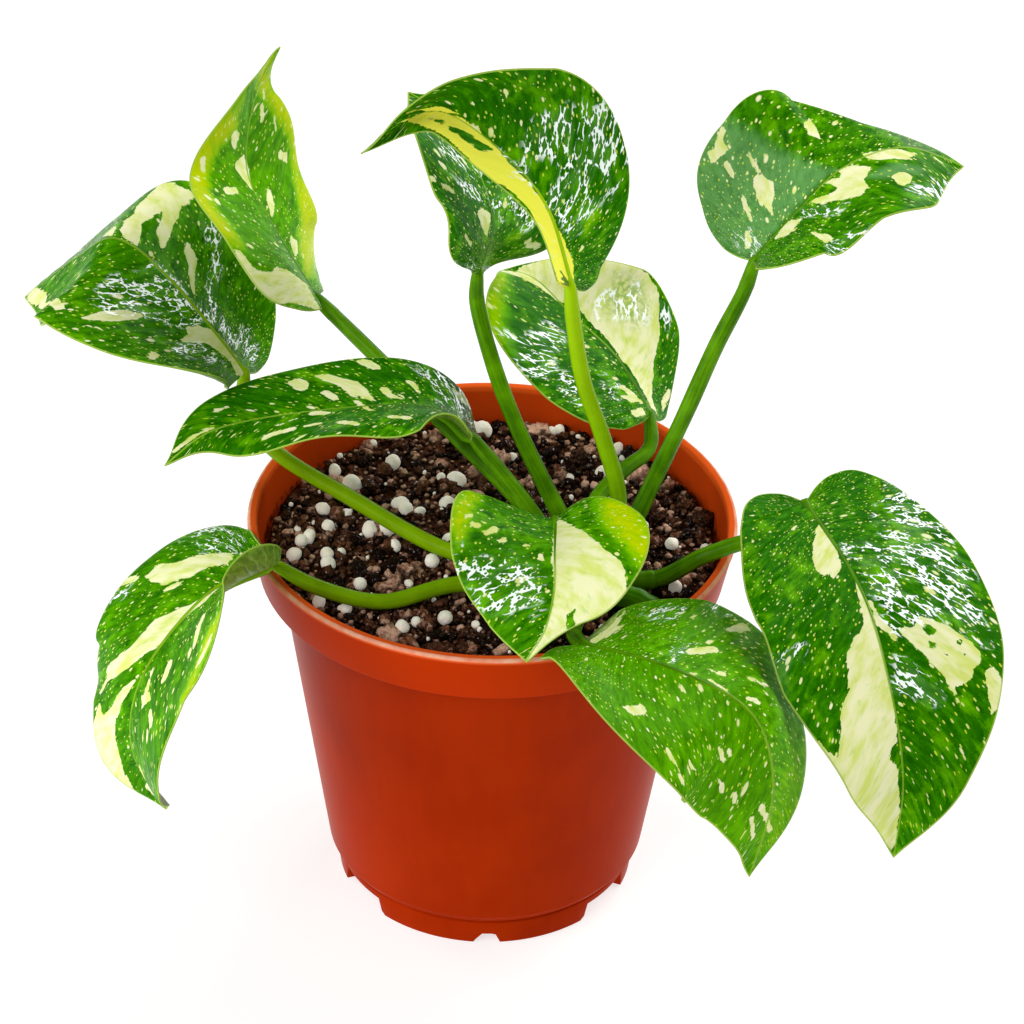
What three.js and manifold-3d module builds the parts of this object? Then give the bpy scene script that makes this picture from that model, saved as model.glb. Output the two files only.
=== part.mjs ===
import * as THREE from "three";
import { mergeVertices } from "three/addons/utils/BufferGeometryUtils.js";
import Module from "manifold-3d";

// A speckled foliage plant in a round plastic nursery pot.
// Millimetres. The origin is on the floor at the pot's axis, +Z is up, and the front is towards -Y.

const wasm = await Module();
wasm.setup();

// Clear space kept between neighbouring pieces
const GAP = 0.3;

// Pot
const POT_SIDES = 56;
const POT_WALL = 1.5;
const RIM_R = 60;
const RIM_TOP_Z = 104.8;
const RIM_LIP = 2.6;
const COLLAR_BOTTOM_R = 57.5;
const COLLAR_BOTTOM_Z = 91.5;
const SHOULDER_R = 52.3;
const LEDGE_Z = 93;
const HEEL_R = 40;
const HEEL_Z = 9.5;
const GROOVE_R = 37.8;
const GROOVE_Z = 7.2;
const FOOT_R = 37.3;
const FOOT_INNER_R = 35.2;
const CHANNEL_Z = 5;
const HUB_R = 14;
const DRAIN_RING_R = 25;
const DRAIN_R = 3.2;
const DRAIN_COUNT = 8;
const SIDE_NOTCH = { width: 16, height: 4.6, angles: [-146, -34, 34, 146] };
const END_NOTCH = { width: 5, height: 3, angles: [-88, 92] };
// A notch is cut this far through the foot ring, and a drain hole this far through the floor
const NOTCH_REACH = 12;
const DRAIN_REACH = 20;
const DRAIN_SIDES = 8;

// Soil
const SOIL_Z = 95;
const SOIL_R = 55.2;
const SOIL_SIDES = 36;
const SOIL_RINGS = 6;
// Two crossing waves ripple the peat: their height, and turns in radians a millimetre along X and Y
const SOIL_RIPPLE = 0.35;
const RIPPLE_ALONG = [0.31, 0.13];
const RIPPLE_ACROSS = [-0.17, 0.37];
const BIG_BARK = { count: 13, radius: [3.3, 4.6], detail: 1, raised: 0.1 };
const SMALL_BARK = { count: 24, radius: [2.2, 3.3], detail: 0, raised: 0.1 };
const GRAINS = { count: 24, radius: [1.7, 2.7], detail: 0, raised: 0.25 };
const SOIL_SEED = 11;
const SOIL_TRIES = 4000;
const LUMP_CLEARANCE = 0.7;
// Lumps keep this many of their own radii from the wall, and this share of their radii from each other
const LUMP_WALL_ROOM = 1.35;
const LUMP_SPACING = 0.72;
// How much a corner of a lump swells or sinks, and how much the whole lump is stretched each way
const LUMP_SWELL = [0.82, 1.12];
const LUMP_STRETCH = [[0.9, 1.25], [0.8, 1.1], [0.65, 0.9]];

// Crown: the short stem that every leaf stalk grows from
const CROWN_X = 23.5;
const CROWN_Y = -21;
const CROWN_SIDES = 12;
const CROWN_PROFILE = [
  [0, 68],
  [3, 69],
  [5.5, 80],
  [7.6, 92],
  [8, 98],
  [7, 103],
  [4.5, 106.5],
  [0, 107.5],
];
const SHEATH_LENGTH = 11;
const SHEATH_R = [2.8, 2.4];
const SHEATH_LONGEST_SHARE = 0.45;
const OLD_STEM = {
  path: [[27, -24, 100], [35, -26, 99], [41, -28, 96.5]],
  beyond: [44, -29, 94.5],
  radius: [3.2, 2.9],
};

// Leaf stalks
const STALK_FOOT_R = 2.2;
const STALK_TOP_R = 1.85;
const STALK_SIDES = 8;
const SHEATH_STEPS = 2;
const STALK_STEP = 6;
const NECK_LENGTH = 6;
const NECK_STEPS = 2;
const NECK_END_R = 1.2;
// A bar's first corner points roughly this way, which no stalk or stem runs along
const BAR_START = [0.31, 0.87, 0.38];
const NEAR_SOIL = 12;

// Leaf blades
const BLADE_HALF = 0.4;
const KEEL = 1.1;
const BLADE_ROWS = 15;
const BLADE_SPANS = 4;

// Outline of half a leaf, from the notch round the lobe to the tip: how far back the lobe reaches
// (in lobe lengths), how far ahead the margin lies and where its side vein leaves the midrib (in leaf
// lengths), and how far out it lies (in half widths)
const OUTLINE = [
  { back: -0.7, ahead: 0, out: 0.18, vein: 0 },
  { back: -1, ahead: 0, out: 0.38, vein: 0 },
  { back: -0.55, ahead: 0, out: 0.62, vein: 0 },
  { back: 0, ahead: 0.06, out: 0.84, vein: 0.03 },
  { back: 0, ahead: 0.18, out: 0.96, vein: 0.075 },
  { back: 0, ahead: 0.32, out: 1, vein: 0.15 },
  { back: 0, ahead: 0.48, out: 0.94, vein: 0.27 },
  { back: 0, ahead: 0.64, out: 0.75, vein: 0.43 },
  { back: 0, ahead: 0.78, out: 0.48, vein: 0.61 },
  { back: 0, ahead: 0.88, out: 0.25, vein: 0.76 },
  { back: 0, ahead: 0.95, out: 0.1, vein: 0.89 },
  { back: 0, ahead: 1, out: 0, vein: 1 },
];
// Side veins leave the midrib forwards and bend outwards; those of the lobes all start at its base
const VEIN_BEND = 1.3;
const LOBE_VEIN = 0.012;
// Bends below this many radians a millimetre count as flat
const FLAT_BEND = 1e-5;

// One entry per leaf. rib: points of the midrib from base to tip. heading: compass of the blade in
// degrees from +X towards +Y. bank: rise of its left side. roll: turn about the midrib at base, middle
// and tip. Each half has a width, a lobe (in leaf lengths), a fold up from flat and a curl of the
// margin at base, middle and tip, and a wave of the margin. stalk: points from the crown to the base.
const LEAVES = [
  {
    name: "far_left",
    rib: [[-62, 24, 129], [-80, 34, 148], [-94, 42, 155], [-105, 47, 146], [-119, 54, 130]],
    heading: 155,
    bank: 10,
    roll: [28, -8, -23],
    left: { width: 43, lobe: -0.01, fold: [-19, -11, 3], curl: [42, 13, -10], wave: [1.9, 3, 130] },
    right: { width: 41, lobe: 0.03, fold: [-2, -7, -8], curl: [42, 12, -30], wave: [1.4, 3, 60] },
    stalk: [[20, -19, 100], [4, -14, 99.6], [-12, -8, 100], [-33, 5, 104], [-56, 17, 112.5], [-62, 22, 121]],
  },
  {
    name: "upper_left",
    rib: [[-45, 34, 145], [-55, 42, 158], [-63, 52, 170], [-61, 58, 188], [-55, 64, 198]],
    heading: 171,
    bank: 32,
    roll: [6, -12, 3],
    left: { width: 31.5, lobe: 0.05, fold: [2, 0, -5], curl: [-36, -11, 14], wave: [1.9, 3, 270] },
    right: { width: 31, lobe: -0.02, fold: [14, 10, 3], curl: [-27, -7, 10], wave: [0.8, 3, -10] },
    stalk: [[19, -17, 103], [8.5, -7, 111.5], [-8, 6.5, 121.6], [-30, 24, 135]],
  },
  {
    name: "top_middle",
    rib: [[17, -5, 174], [10, 3, 192], [-3, 5, 207], [-17, 1, 217], [-32, -11, 212]],
    heading: 140,
    bank: -26,
    roll: [23, 4, -20],
    left: { width: 10, lobe: -0.06, fold: [8, 16, 22], curl: [35, 14, -3], wave: [0.4, 3, -40] },
    right: { width: 26.5, lobe: 0.04, fold: [-15, 31, 74], curl: [8, 9, 8], wave: [1.4, 2, 160] },
    stalk: [[26, -21, 104], [30, -20, 123.5], [26, -14, 137], [21, -10, 150], [18, -6.5, 165]],
  },
  {
    name: "upper_right",
    rib: [[60, -3, 181], [70, 2, 192], [80, 5, 202], [94, 10, 205], [109, 16, 197]],
    heading: 30,
    bank: -16,
    roll: [-11, -2, 19],
    left: { width: 41.5, lobe: 0.05, fold: [5, -1, -4], curl: [37, 13, 2], wave: [1.8, 2, 100] },
    right: { width: 33.5, lobe: -0.01, fold: [12, -5, -20], curl: [9, -2, -16], wave: [1.9, 3, 210] },
    stalk: [[29, -17, 102], [36, -13.5, 118.5], [45, -12, 143], [52, -8, 161], [58, -4.5, 174]],
  },
  {
    name: "behind_middle",
    rib: [[-5, 8, 169], [-2, 15, 179], [-6, 24, 188], [-13, 34, 195], [-23, 43, 198]],
    heading: 149,
    bank: 21,
    roll: [14, 2, -4],
    left: { width: 34.5, lobe: 0, fold: [6, 12, 5], curl: [-26, -6, 3], wave: [0.1, 3, 80] },
    right: { width: 38.5, lobe: -0.03, fold: [-15, 6, 10], curl: [15, 8, -8], wave: [1.4, 3, -80] },
    stalk: [[22, -17, 104], [16.2, -11.5, 113.5], [5, -5, 135], [-1, 1, 149], [-5, 7, 162]],
  },
  {
    name: "centre_back",
    rib: [[38, 20, 122], [29, 29, 133], [18, 38, 139], [9, 49, 142], [1, 57, 140]],
    heading: 126,
    bank: 17,
    roll: [18, -9, -3],
    left: { width: 34.5, lobe: 0.02, fold: [14, 14, 13], curl: [-28, -8, 13], wave: [0.2, 3, 50] },
    right: { width: 27.5, lobe: 0.03, fold: [-21, 8, 32], curl: [17, 8, -2], wave: [0.7, 3, 110] },
    stalk: [[25, -18, 103], [24, -6, 111], [31, 5, 115], [38, 13, 117]],
  },
  {
    name: "middle_left",
    rib: [[-5, -12, 135], [-15, -7, 140], [-37, -7, 139], [-65, -12, 136], [-78, -21, 131]],
    heading: 193,
    bank: 23,
    roll: [-1, -5, -14],
    left: { width: 23.5, lobe: 0.01, fold: [1, -3, -13], curl: [-2, -4, -11], wave: [1.9, 3, 160] },
    right: { width: 26.5, lobe: -0.02, fold: [1, 12, 16], curl: [13, 3, -14], wave: [0.8, 3, -40] },
    stalk: [[18, -21, 106], [9, -18, 119], [2, -14.5, 127]],
  },
  {
    name: "low_left",
    rib: [[-52, -29, 109], [-67, -36, 104], [-81, -51, 92], [-84, -57, 75], [-77, -51, 51]],
    heading: 217,
    bank: -25,
    roll: [18, 19, -17],
    left: { width: 33, lobe: 0.01, fold: [45, 18, 4], curl: [42, 8, -30], wave: [0.5, 3, 170] },
    right: { width: 32.5, lobe: 0, fold: [-14, -7, 41], curl: [-9, -20, -30], wave: [1.9, 3, -50] },
    stalk: [[18, -24, 100], [-8, -25, 101.5], [-26, -30, 99.4], [-42, -31.5, 104.6]],
  },
  {
    name: "front_centre",
    rib: [[15, -28, 123], [15, -41, 123], [15, -54, 120], [13, -64, 116], [9, -74, 115]],
    heading: -91,
    bank: 14,
    roll: [-1, -7, 17],
    left: { width: 23, lobe: 0.11, fold: [12, 16, 16], curl: [-19, -2, 15], wave: [0.1, 2, 20] },
    right: { width: 27.5, lobe: 0.02, fold: [23, 17, 4], curl: [38, 20, 0], wave: [0.7, 2, 80] },
    stalk: [[21, -23, 105], [17.5, -25.5, 114]],
  },
  {
    name: "front_right",
    rib: [[22, -61, 111], [43, -70, 111], [61, -74, 102], [67, -77, 83], [63, -77, 56]],
    heading: -14,
    bank: 0,
    roll: [-21, 6, 19],
    left: { width: 35.5, lobe: -0.02, fold: [10, -5, 19], curl: [7, -14, -30], wave: [1, 3, -70] },
    right: { width: 31.5, lobe: 0.05, fold: [-9, -23, -13], curl: [36, -1, -30], wave: [1.4, 4, -30] },
    stalk: [[22, -27, 101], [20.5, -41, 103.2], [20, -53, 107.8]],
  },
  {
    name: "right",
    rib: [[75, -15, 121], [88, -30, 107], [95, -46, 92], [99, -61, 74], [98, -66, 54]],
    heading: -88,
    bank: -28,
    roll: [-3, 7, 14],
    left: { width: 32.5, lobe: 0.04, fold: [3, 9, 20], curl: [-2, -8, -11], wave: [0.2, 3, 90] },
    right: { width: 33, lobe: 0.07, fold: [3, 15, 31], curl: [-13, -4, 9], wave: [1.9, 4, 60] },
    stalk: [[29, -20, 100], [41, -18, 100], [50, -17.5, 105.7], [57, -16.5, 108.6], [66, -15.5, 112]],
  },
];

// Repeatable random numbers from 0 to 1
function seeded(seed) {
  let state = seed;
  return () => {
    state = (state * 1664525 + 1013904223) % 4294967296;
    return state / 4294967296;
  };
}

const mix = THREE.MathUtils.lerp;
const radians = THREE.MathUtils.degToRad;
const point = ([x, y, z]) => new THREE.Vector3(x, y, z);

// Smooth curve of plain numbers spaced evenly from 0 to 1
function smooth(values, t) {
  const line = new THREE.SplineCurve(values.map((v, i) => new THREE.Vector2(i, v)));
  return line.getPoint(THREE.MathUtils.clamp(t, 0, 1)).y;
}

// Solid from a closed three.js geometry, and back
function solid(geometry) {
  const bare = geometry.clone();
  bare.deleteAttribute("normal");
  bare.deleteAttribute("uv");
  const merged = mergeVertices(bare, 1e-4);
  const index = [];
  const all = merged.index.array;
  for (let i = 0; i < all.length; i += 3) {
    const [a, b, c] = [all[i], all[i + 1], all[i + 2]];
    if (a !== b && b !== c && c !== a) index.push(a, b, c);
  }
  return new wasm.Manifold(
    new wasm.Mesh({
      numProp: 3,
      vertProperties: new Float32Array(merged.attributes.position.array),
      triVerts: new Uint32Array(index),
    }),
  );
}

function geometryOf(body) {
  const mesh = body.getMesh();
  const geometry = new THREE.BufferGeometry();
  geometry.setAttribute("position", new THREE.BufferAttribute(mesh.vertProperties.slice(), 3));
  geometry.setIndex(Array.from(mesh.triVerts));
  geometry.computeVertexNormals();
  return geometry;
}

// Round bar that follows a curve between two shares of its length; its radius goes from one value to
// the other, and its ends are square to the curve
function bar(curve, from, to, radii, sides, steps) {
  const geometry = new THREE.CylinderGeometry(1, 1, 1, sides, steps);
  const position = geometry.attributes.position;
  const stations = [];
  let across = point(BAR_START);
  for (let i = 0; i <= steps; i++) {
    const share = mix(from, to, i / steps);
    const tangent = curve.getTangentAt(share);
    across = across.clone().addScaledVector(tangent, -across.dot(tangent)).normalize();
    stations.push({ centre: curve.getPointAt(share), across, beside: across.clone().cross(tangent) });
  }
  for (let i = 0; i < position.count; i++) {
    const step = Math.round((position.getY(i) + 0.5) * steps);
    const { centre, across: u, beside: v } = stations[step];
    const radius = mix(radii[0], radii[1], step / steps);
    const at = centre.clone();
    at.addScaledVector(u, position.getX(i) * radius);
    at.addScaledVector(v, position.getZ(i) * radius);
    position.setXYZ(i, at.x, at.y, at.z);
  }
  return solid(geometry);
}

// Closed shape turned about Z from a profile of [radius, height] points
function turned(profile, sides) {
  const geometry = new THREE.LatheGeometry(
    profile.map(([r, z]) => new THREE.Vector2(r, z)),
    sides,
  );
  geometry.rotateX(Math.PI / 2);
  return solid(geometry);
}

function potBody() {
  const profile = [
    [0, 0],
    [HUB_R, 0],
    [HUB_R + 2, CHANNEL_Z],
    [FOOT_INNER_R, CHANNEL_Z],
    [FOOT_INNER_R, 0],
    [FOOT_R, 0],
    [GROOVE_R, GROOVE_Z - 0.6],
    [GROOVE_R - 0.5, GROOVE_Z],
    [GROOVE_R + 0.6, GROOVE_Z + 0.6],
    [HEEL_R, HEEL_Z],
    [SHOULDER_R, COLLAR_BOTTOM_Z - 0.2],
    [COLLAR_BOTTOM_R - 0.4, COLLAR_BOTTOM_Z],
    [COLLAR_BOTTOM_R, COLLAR_BOTTOM_Z + 0.7],
    [RIM_R - 0.2, RIM_TOP_Z - 1.8],
    [RIM_R, RIM_TOP_Z - 1],
    [RIM_R - 0.6, RIM_TOP_Z],
    [RIM_R - RIM_LIP + 0.5, RIM_TOP_Z],
    [RIM_R - RIM_LIP, RIM_TOP_Z - 0.8],
    [COLLAR_BOTTOM_R - POT_WALL, LEDGE_Z],
    [SHOULDER_R - POT_WALL, LEDGE_Z - 0.4],
    [HEEL_R - POT_WALL, HEEL_Z],
    [HEEL_R - POT_WALL - 2, CHANNEL_Z + POT_WALL],
    [HUB_R + 1, CHANNEL_Z + POT_WALL],
    [HUB_R - 1, POT_WALL],
    [0, POT_WALL],
  ];
  let pot = turned(profile, POT_SIDES);
  for (const notch of [SIDE_NOTCH, END_NOTCH]) {
    for (const angle of notch.angles) {
      const cut = new THREE.BoxGeometry(NOTCH_REACH, notch.width, notch.height * 2);
      cut.translate(FOOT_R, 0, 0);
      cut.rotateZ(radians(angle));
      pot = pot.subtract(solid(cut));
    }
  }
  for (let i = 0; i < DRAIN_COUNT; i++) {
    const hole = new THREE.CylinderGeometry(DRAIN_R, DRAIN_R, DRAIN_REACH, DRAIN_SIDES);
    hole.rotateX(Math.PI / 2);
    hole.translate(DRAIN_RING_R, 0, CHANNEL_Z);
    hole.rotateZ(((i + 0.5) / DRAIN_COUNT) * Math.PI * 2);
    pot = pot.subtract(solid(hole));
  }
  return pot;
}

// Peat that fills the pot, with a rippled top, before bark and grains are sunk into it
function peatBody() {
  const profile = [
    [0, POT_WALL + GAP],
    [HUB_R - 1.4, POT_WALL + GAP],
    [HUB_R + 0.8, CHANNEL_Z + POT_WALL + GAP],
    [HEEL_R - POT_WALL - 2.3, CHANNEL_Z + POT_WALL + GAP],
    [HEEL_R - POT_WALL - GAP, HEEL_Z + 0.2],
    [SHOULDER_R - POT_WALL - GAP, LEDGE_Z - 0.2],
    [SOIL_R, LEDGE_Z + GAP],
    [SOIL_R, SOIL_Z - 0.6],
  ];
  for (let i = SOIL_RINGS; i >= 0; i--) profile.push([(SOIL_R - 1) * (i / SOIL_RINGS), SOIL_Z]);
  const geometry = new THREE.LatheGeometry(
    profile.map(([r, z]) => new THREE.Vector2(r, z)),
    SOIL_SIDES,
  );
  geometry.rotateX(Math.PI / 2);
  const position = geometry.attributes.position;
  for (let i = 0; i < position.count; i++) {
    const [x, y, z] = [position.getX(i), position.getY(i), position.getZ(i)];
    if (z < SOIL_Z - 0.1) continue;
    const along = Math.sin(x * RIPPLE_ALONG[0] + y * RIPPLE_ALONG[1]);
    const across = Math.cos(x * RIPPLE_ACROSS[0] + y * RIPPLE_ACROSS[1]);
    position.setZ(i, z + SOIL_RIPPLE * (along + across));
  }
  return solid(geometry);
}

// Rough lump with few sides
function lump(random, radius, detail) {
  const geometry = mergeVertices(bareCopy(new THREE.IcosahedronGeometry(radius, detail)), 1e-4);
  const position = geometry.attributes.position;
  for (let i = 0; i < position.count; i++) {
    const swell = mix(...LUMP_SWELL, random());
    position.setXYZ(i, position.getX(i) * swell, position.getY(i) * swell, position.getZ(i) * swell);
  }
  geometry.scale(...LUMP_STRETCH.map(([least, most]) => mix(least, most, random())));
  geometry.rotateZ(random() * Math.PI);
  return geometry;
}

function bareCopy(geometry) {
  geometry.deleteAttribute("normal");
  geometry.deleteAttribute("uv");
  return geometry;
}

function soilBody(obstacles) {
  const random = seeded(SOIL_SEED);
  let soil = peatBody();
  const placed = [];
  for (const kind of [BIG_BARK, SMALL_BARK, GRAINS]) {
    let left = kind.count;
    for (let tries = 0; tries < SOIL_TRIES && left > 0; tries++) {
      const radius = mix(kind.radius[0], kind.radius[1], random());
      const turn = random() * Math.PI * 2;
      const reach = Math.sqrt(random()) * (SOIL_R - radius * LUMP_WALL_ROOM);
      const [x, y] = [Math.cos(turn) * reach, Math.sin(turn) * reach];
      const crowded = (p) => Math.hypot(p.x - x, p.y - y) < (p.radius + radius) * LUMP_SPACING;
      if (placed.some(crowded)) continue;
      placed.push({ x, y, radius });
      const geometry = lump(random, radius, kind.detail);
      geometry.translate(x, y, SOIL_Z + radius * kind.raised);
      const position = geometry.attributes.position;
      for (let i = 0; i < position.count; i++) {
        position.setZ(i, Math.max(position.getZ(i), LEDGE_Z + LUMP_CLEARANCE));
      }
      soil = soil.add(solid(geometry));
      left -= 1;
    }
  }
  for (const obstacle of obstacles) soil = soil.subtract(obstacle);
  const bodies = soil.decompose();
  return bodies.reduce((a, b) => (a.volume() > b.volume() ? a : b));
}

// Whole course of a stalk, from the crown to the base of its blade
function stalkCurve(leaf) {
  return new THREE.CatmullRomCurve3(
    [...leaf.stalk, leaf.rib[0]].map(point),
    false,
    "centripetal",
  );
}

// Middle surface of one half of a blade, as rows of points from the midrib to the margin
function halfBlade(leaf, half, side) {
  const rib = new THREE.CatmullRomCurve3(leaf.rib.map(point), false, "catmullrom", 0.5);
  rib.arcLengthDivisions = 400;
  const length = rib.getLength();
  const [heading, bank] = [radians(leaf.heading), radians(leaf.bank)];
  const leftwards = new THREE.Vector3(
    -Math.sin(heading) * Math.cos(bank),
    Math.cos(heading) * Math.cos(bank),
    Math.sin(bank),
  );
  const startTangent = rib.getTangentAt(0);
  const rows = [];
  for (let i = 0; i <= BLADE_ROWS; i++) {
    const q = i / BLADE_ROWS;
    const edge = {};
    for (const key of ["back", "ahead", "out", "vein"]) {
      edge[key] = smooth(OUTLINE.map((o) => o[key]), q);
    }
    const foot = edge.vein < LOBE_VEIN ? 0 : edge.vein;
    const row = [];
    for (let j = 0; j <= BLADE_SPANS; j++) {
      const s = j / BLADE_SPANS;
      const marginX = edge.back * half.lobe + edge.ahead;
      const along = (foot + (marginX - foot) * s ** VEIN_BEND) * length;
      const outward = Math.max(edge.out, 0) * s * half.width;
      const share = THREE.MathUtils.clamp(along / length, 0, 1);
      const tangent = rib.getTangentAt(share);
      const left = leftwards.clone().addScaledVector(tangent, -leftwards.dot(tangent)).normalize();
      const up = tangent.clone().cross(left);
      const roll = radians(smooth(leaf.roll, share));
      const sideways = left.clone().multiplyScalar(Math.cos(roll)).addScaledVector(up, Math.sin(roll));
      const normal = up.clone().multiplyScalar(Math.cos(roll)).addScaledVector(left, -Math.sin(roll));
      const fold = radians(smooth(half.fold, share));
      const bend = radians(smooth(half.curl, share)) / half.width;
      const curl = Math.abs(bend) < FLAT_BEND ? FLAT_BEND : bend;
      const lateral = (Math.sin(fold + curl * outward) - Math.sin(fold)) / curl;
      const [swell, count, phase] = half.wave;
      const swing = Math.sin(2 * Math.PI * count * q + radians(phase));
      const wave = swell * swing * s * s * Math.sin(Math.PI * q);
      const height = (Math.cos(fold) - Math.cos(fold + curl * outward)) / curl + wave;
      const at = rib.getPointAt(share);
      at.addScaledVector(startTangent, along - share * length);
      at.addScaledVector(sideways, side * lateral);
      at.addScaledVector(normal, height);
      row.push(at);
    }
    rows.push(row);
  }
  return rows;
}

// Middle surface of a whole blade as one indexed sheet, and how deep the keel is below each point
function bladeSheet(leaf) {
  const corners = [];
  const keel = [];
  for (const [half, side] of [[leaf.left, 1], [leaf.right, -1]]) {
    const rows = halfBlade(leaf, half, side);
    const put = (i, j) => {
      corners.push(rows[i][j].x, rows[i][j].y, rows[i][j].z);
      keel.push(j === 0 ? KEEL * (1 - i / BLADE_ROWS) : 0);
    };
    for (let i = 0; i < BLADE_ROWS; i++) {
      for (let j = 0; j < BLADE_SPANS; j++) {
        const quad = [[i, j], [i + 1, j], [i + 1, j + 1], [i, j], [i + 1, j + 1], [i, j + 1]];
        if (side < 0) quad.reverse();
        for (const [a, b] of quad) put(a, b);
      }
    }
  }
  const loose = new THREE.BufferGeometry();
  loose.setAttribute("position", new THREE.Float32BufferAttribute(corners, 3));
  const sheet = mergeVertices(loose, 1e-3);
  const depth = new Array(sheet.attributes.position.count).fill(0);
  const index = [];
  for (let i = 0; i < sheet.index.count; i += 3) {
    const triangle = [0, 1, 2].map((k) => sheet.index.getX(i + k));
    if (new Set(triangle).size < 3) continue;
    index.push(...triangle);
    triangle.forEach((v, k) => {
      depth[v] = Math.max(depth[v], keel[i + k]);
    });
  }
  sheet.setIndex(index);
  sheet.computeVertexNormals();
  return { sheet, depth, index };
}

// Thin closed blade around its middle surface, with a keel below the midrib; both faces are split alike
function bladeBody(leaf) {
  const { sheet, depth, index } = bladeSheet(leaf);
  const middle = sheet.attributes.position;
  const normals = sheet.attributes.normal;
  const count = middle.count;
  const shell = [];
  for (const side of [1, -1]) {
    for (let i = 0; i < count; i++) {
      const offset = side * (BLADE_HALF + (side < 0 ? depth[i] : 0));
      shell.push(middle.getX(i) + normals.getX(i) * offset);
      shell.push(middle.getY(i) + normals.getY(i) * offset);
      shell.push(middle.getZ(i) + normals.getZ(i) * offset);
    }
  }
  const faces = [];
  const edges = new Map();
  for (let i = 0; i < index.length; i += 3) {
    const [a, b, c] = index.slice(i, i + 3);
    faces.push(a, b, c, a + count, c + count, b + count);
    for (const [u, v] of [[a, b], [b, c], [c, a]]) edges.set(u + "/" + v, [u, v]);
  }
  for (const [u, v] of edges.values()) {
    if (edges.has(v + "/" + u)) continue;
    faces.push(u, u + count, v + count, u, v + count, v);
  }
  const geometry = new THREE.BufferGeometry();
  geometry.setAttribute("position", new THREE.Float32BufferAttribute(shell, 3));
  geometry.setIndex(faces);
  return solid(geometry);
}

const part = new THREE.Group();
part.name = "potted_plant";

const finishes = {
  pot: new THREE.MeshStandardMaterial({ color: 0xb5341a, roughness: 0.38, metalness: 0 }),
  soil: new THREE.MeshStandardMaterial({ color: 0x3a2418, roughness: 0.95, metalness: 0 }),
  crown: new THREE.MeshStandardMaterial({ color: 0x4f7a22, roughness: 0.5, metalness: 0 }),
  stalk: new THREE.MeshStandardMaterial({ color: 0x3f7d1e, roughness: 0.45, metalness: 0 }),
  blade: new THREE.MeshStandardMaterial({ color: 0x2f6d1c, roughness: 0.28, metalness: 0 }),
};

function addPiece(name, body, finish) {
  const piece = new THREE.Mesh(geometryOf(body), finish.clone());
  piece.name = name;
  part.add(piece);
}

// The crown with one short sheath per stalk and the stump of an older stem
let crown = turned(CROWN_PROFILE, CROWN_SIDES).translate([CROWN_X, CROWN_Y, 0]);
const oldStem = new THREE.CatmullRomCurve3(OLD_STEM.path.map(point));
crown = crown.add(bar(oldStem, 0, 1, OLD_STEM.radius, STALK_SIDES, 3));
const widerCrown = CROWN_PROFILE.map(([r, z], i) => [r === 0 ? r : r + GAP, i < 2 ? z - GAP : z + GAP]);
const longerStem = new THREE.CatmullRomCurve3([...OLD_STEM.path, OLD_STEM.beyond].map(point));
const soilCuts = [turned(widerCrown, CROWN_SIDES).translate([CROWN_X, CROWN_Y, 0])];
soilCuts.push(bar(longerStem, 0, 1, OLD_STEM.radius.map((r) => r + GAP), STALK_SIDES, 4));

for (const leaf of LEAVES) {
  const curve = stalkCurve(leaf);
  const length = curve.getLength();
  const sheathEnd = Math.min(SHEATH_LENGTH / length, SHEATH_LONGEST_SHARE);
  const stalkFrom = sheathEnd + GAP / length;
  const stalkTo = 1 - (NECK_LENGTH + GAP) / length;
  const neckFrom = 1 - NECK_LENGTH / length;
  const steps = Math.max(3, Math.round(((stalkTo - stalkFrom) * length) / STALK_STEP));
  const radii = [STALK_FOOT_R, STALK_TOP_R];
  const wide = SHEATH_R.map((r) => r + GAP);
  crown = crown.add(bar(curve, 0, sheathEnd, SHEATH_R, STALK_SIDES, SHEATH_STEPS));
  const stalk = bar(curve, stalkFrom, stalkTo, radii, STALK_SIDES, steps);
  addPiece("leaf_" + leaf.name + "_stalk", stalk, finishes.stalk);
  if (leaf.stalk[1][2] < SOIL_Z + NEAR_SOIL) {
    soilCuts.push(bar(curve, 0, stalkFrom + GAP / length, wide, STALK_SIDES, SHEATH_STEPS));
    soilCuts.push(bar(curve, stalkFrom, stalkTo, radii.map((r) => r + GAP), STALK_SIDES, steps));
  }
  const neck = bar(curve, neckFrom, 1, [STALK_TOP_R, NECK_END_R], STALK_SIDES, NECK_STEPS);
  addPiece("leaf_" + leaf.name + "_blade", bladeBody(leaf).add(neck), finishes.blade);
}

addPiece("crown", crown, finishes.crown);
addPiece("soil", soilBody(soilCuts), finishes.soil);
addPiece("pot", potBody(), finishes.pot);

export default part;
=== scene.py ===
"""A young anubias with cream-marbled leaves in a round nursery pot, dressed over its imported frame.

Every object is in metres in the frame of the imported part. The tables of sizes are in millimetres and
degrees, and the marks on a leaf are placed on the leaf itself: along the midrib and out to the side.
"""

import logging
import math
from collections.abc import Callable, Iterable, Sequence
from dataclasses import asdict, dataclass
from enum import Enum

import bpy
import numpy as np
from mathutils import Matrix, Vector


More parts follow.
